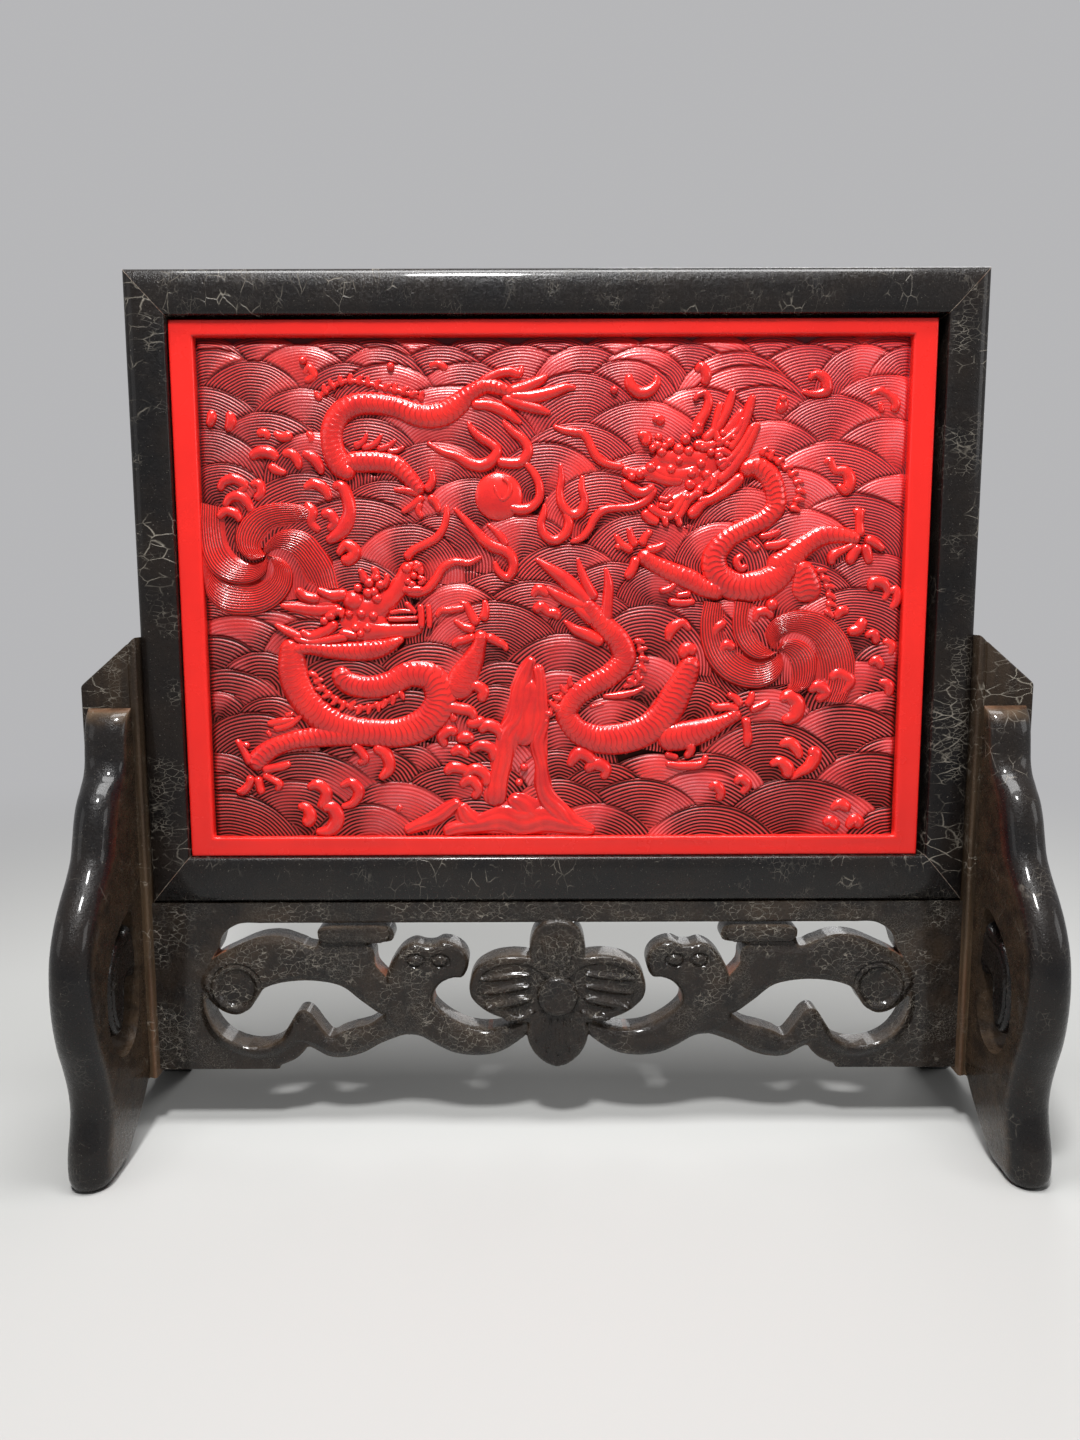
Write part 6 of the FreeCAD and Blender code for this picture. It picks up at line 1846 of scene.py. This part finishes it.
def prism(outline, half):
    """A closed outline in (distance in front of the post, height), pushed through the leg."""
    count = len(outline)
    centre = np.tile(outline.mean(0), (count, 1))
    rings = ((-half, centre), (-half, outline), (half, outline), (half, centre))
    points = [np.column_stack((np.full(count, x), POST_FRONT - ring[:, 0], ring[:, 1])) for x, ring in rings]
    points = np.vstack(points)
    return outward((points, grid_quads(4, count, wrap=True), np.zeros(len(points))))


CURL, HOLE = (closed_curve(on_leg(shares)) for shares in (LEG_CURL_SHARES, LEG_HOLE_SHARES))


def curl_relief(u, v):
    """A round-backed curl, thinner than the leg, with a groove that follows its edge."""
    d = inside_outline(u, v, CURL)
    height = CURL_LEVEL + round_back(d, CURL_ROUND) - hump(np.abs(d - 4.0), 1.1, 1.0)
    return d, height, np.zeros(d.shape)


def curl_form():
    """The curl seen from the side, carved alike on both faces."""
    u, v, height, quads, tone = carved_sheet(CURL_OUT, CURL_UP, CURL_PITCH, curl_relief, None)
    return outward((np.column_stack((height, POST_FRONT - u, v)), quads, tone))


def plain_mesh(name, form):
    """A mesh object straight from a form, used as a tool and then thrown away."""
    points, quads, _ = form
    first, quads = welded(points, quads)
    faces = [tuple(dict.fromkeys(face)) for face in quads.tolist()]
    mesh = bpy.data.meshes.new(name)
    mesh.from_pydata((points[first] * MM).tolist(), [], [face for face in faces if len(face) > 2])
    tool = bpy.data.objects.new(name, mesh)
    bpy.context.scene.collection.objects.link(tool)
    return tool


def pierced_leg():
    """The leg's points and faces after the piercing is cut out of it by a boolean."""
    body = plain_mesh("leg_tool", leg_body())
    cutter = plain_mesh("hole_tool", prism(HOLE, LEG_THICKNESS))
    cut = body.modifiers.new("piercing", "BOOLEAN")
    cut.operation = "DIFFERENCE"
    cut.object = cutter
    cut.solver = "EXACT"
    made = bpy.data.meshes.new_from_object(body.evaluated_get(bpy.context.evaluated_depsgraph_get()))
    bpy.data.objects.remove(body)
    bpy.data.objects.remove(cutter)
    return made


def rubbed(place, start, over, most):
    """Wear that grows from nothing at the start to its most."""
    return most * np.clip((place - start) / over, 0, 1)


def triangles(mesh):
    """A mesh as a form in mm, its triangles as quads whose last corner is doubled. The tone is the wear
    of a leg: rubbed at the top and along the sides."""
    mesh.calc_loop_triangles()
    corners = np.zeros((len(mesh.vertices), 3))
    mesh.vertices.foreach_get("co", corners.ravel())
    corners /= MM
    index = np.zeros((len(mesh.loop_triangles), 3), np.int32)
    mesh.loop_triangles.foreach_get("vertices", index.ravel())
    wear = np.maximum(rubbed(corners[:, 2], *TOP_WEAR), rubbed(np.abs(corners[:, 0]), *SIDE_WEAR))
    return corners, np.column_stack((index, index[:, 2])), wear


leg_points, leg_quads, leg_tones = joined([triangles(pierced_leg()), curl_form()])
for end, turn_y in (("front", 1), ("rear", -1)):
    for hand, side in (("right", 1), ("left", -1)):
        node = end + "_" + hand + "_leg"
        points = leg_points * (1, turn_y, 1) + (side * LEG_MIDDLE, 0, 0)
        stand_piece(node + "_carved", (points, leg_quads[:, ::turn_y], leg_tones), leg_black, node)

# %% [markdown]
# ## The posts
# A post is a square bar with a sloping shoulder, a slot for the tongue of the screen and a thin bead
# on its inner front edge. Its section is one closed line with every corner rubbed round, and it
# is carried up in rings. The top ring of each point ends on the slope, and the slot opens at the
# level of the apron, where two rings lie at the same height.

# %% Posts
POST_INNER, POST_WIDTH, POST_DEPTH = 200.0, 27.0, 30.0
POST_FOOT, POST_OUTER_TOP, POST_INNER_TOP = 28.0, 224.5, 248.0
SLOT_HALF, SLOT_DEEP, SLOT_LOW = 3.3, 5.7, 116.5
CORNER, BEAD = 1.3, 1.3
RINGS_BELOW_SLOT, RINGS_BESIDE_SLOT = 8, 10
BESIDE_LOW, BESIDE_HIGH = 125.0, 222.0
EDGE_DROP = 1.0
EDGE_RINGS = ((0.15, 0.6), (0.5, 0.9), (1.1, 1.0))  # the rings that round the top edge: inset and rise


def post_section(slot):
    """The section in (outwards from the inner face, y), as a closed line with the bead and its groove.
    slot is 1 where the slot is cut and 0 below it."""
    w, h, c, b = POST_WIDTH, POST_DEPTH / 2, CORNER, BEAD
    deep = slot * SLOT_DEEP
    front = np.vstack((
        quarter_round(b, -h + b, b, 180),
        ((2 * b, -h + 0.5), (2 * b + 0.2, -h + 0.9), (3.6, -h + 0.9), (4.0, -h)),
        quarter_round(w - c, -h + c, c, 270),
    ))
    rear = (front * (1, -1))[::-1]
    inner = ((0, SLOT_HALF), (deep, SLOT_HALF), (deep, -SLOT_HALF), (0, -SLOT_HALF))
    return np.vstack((front, rear, inner))


def post(side):
    """Rings up the post. A ring lies level, or on the sloping top where that is lower: the top falls from
    the inner face to the outer one. The last rings are drawn in to round the edge."""
    low, high = post_section(0.0), post_section(1.0)
    slope = (POST_INNER_TOP - POST_OUTER_TOP) / POST_WIDTH
    rings = []
    below = np.linspace(POST_FOOT, SLOT_LOW, RINGS_BELOW_SLOT)
    for z in (*below, SLOT_LOW, *np.linspace(BESIDE_LOW, BESIDE_HIGH, RINGS_BESIDE_SLOT), np.inf):
        section = low if len(rings) < RINGS_BELOW_SLOT else high
        top = POST_INNER_TOP - slope * section[:, 0]
        rings.append(np.column_stack((section, np.minimum(z, top - EDGE_DROP))))
    section = rings[-1][:, :2]
    centre = np.array((POST_WIDTH / 2 + 2.0, 0.0))
    for inset, rise in EDGE_RINGS:
        step = centre - section
        pulled = section + step / np.abs(step).max(1)[:, None] * inset
        rings.append(np.column_stack((pulled, POST_INNER_TOP - slope * pulled[:, 0] - EDGE_DROP + rise)))
    flat = np.tile((*centre, POST_INNER_TOP - slope * centre[0]), (len(low), 1))
    sole = np.tile((*centre, POST_FOOT), (len(low), 1))
    rings = np.concatenate([sole[None], np.array(rings), flat[None]])
    points = rings.reshape(-1, 3)
    lower = np.clip((200.0 - points[:, 2]) / 120.0, 0, 1)
    beside_bead = np.clip(1 - np.abs(points[:, 0] - 1.0) / 8.0, 0, 1) * (points[:, 1] < 0)
    wear = 0.10 + 0.14 * lower + (0.10 + 0.22 * lower) * beside_bead
    points = np.column_stack((side * (POST_INNER + points[:, 0]), points[:, 1], points[:, 2]))
    return outward((points, grid_quads(len(rings), len(low), wrap=True), wear))


for side, node in ((1, "right_post"), (-1, "left_post")):
    stand_piece(node + "_shaped", post(side), post_black, node)
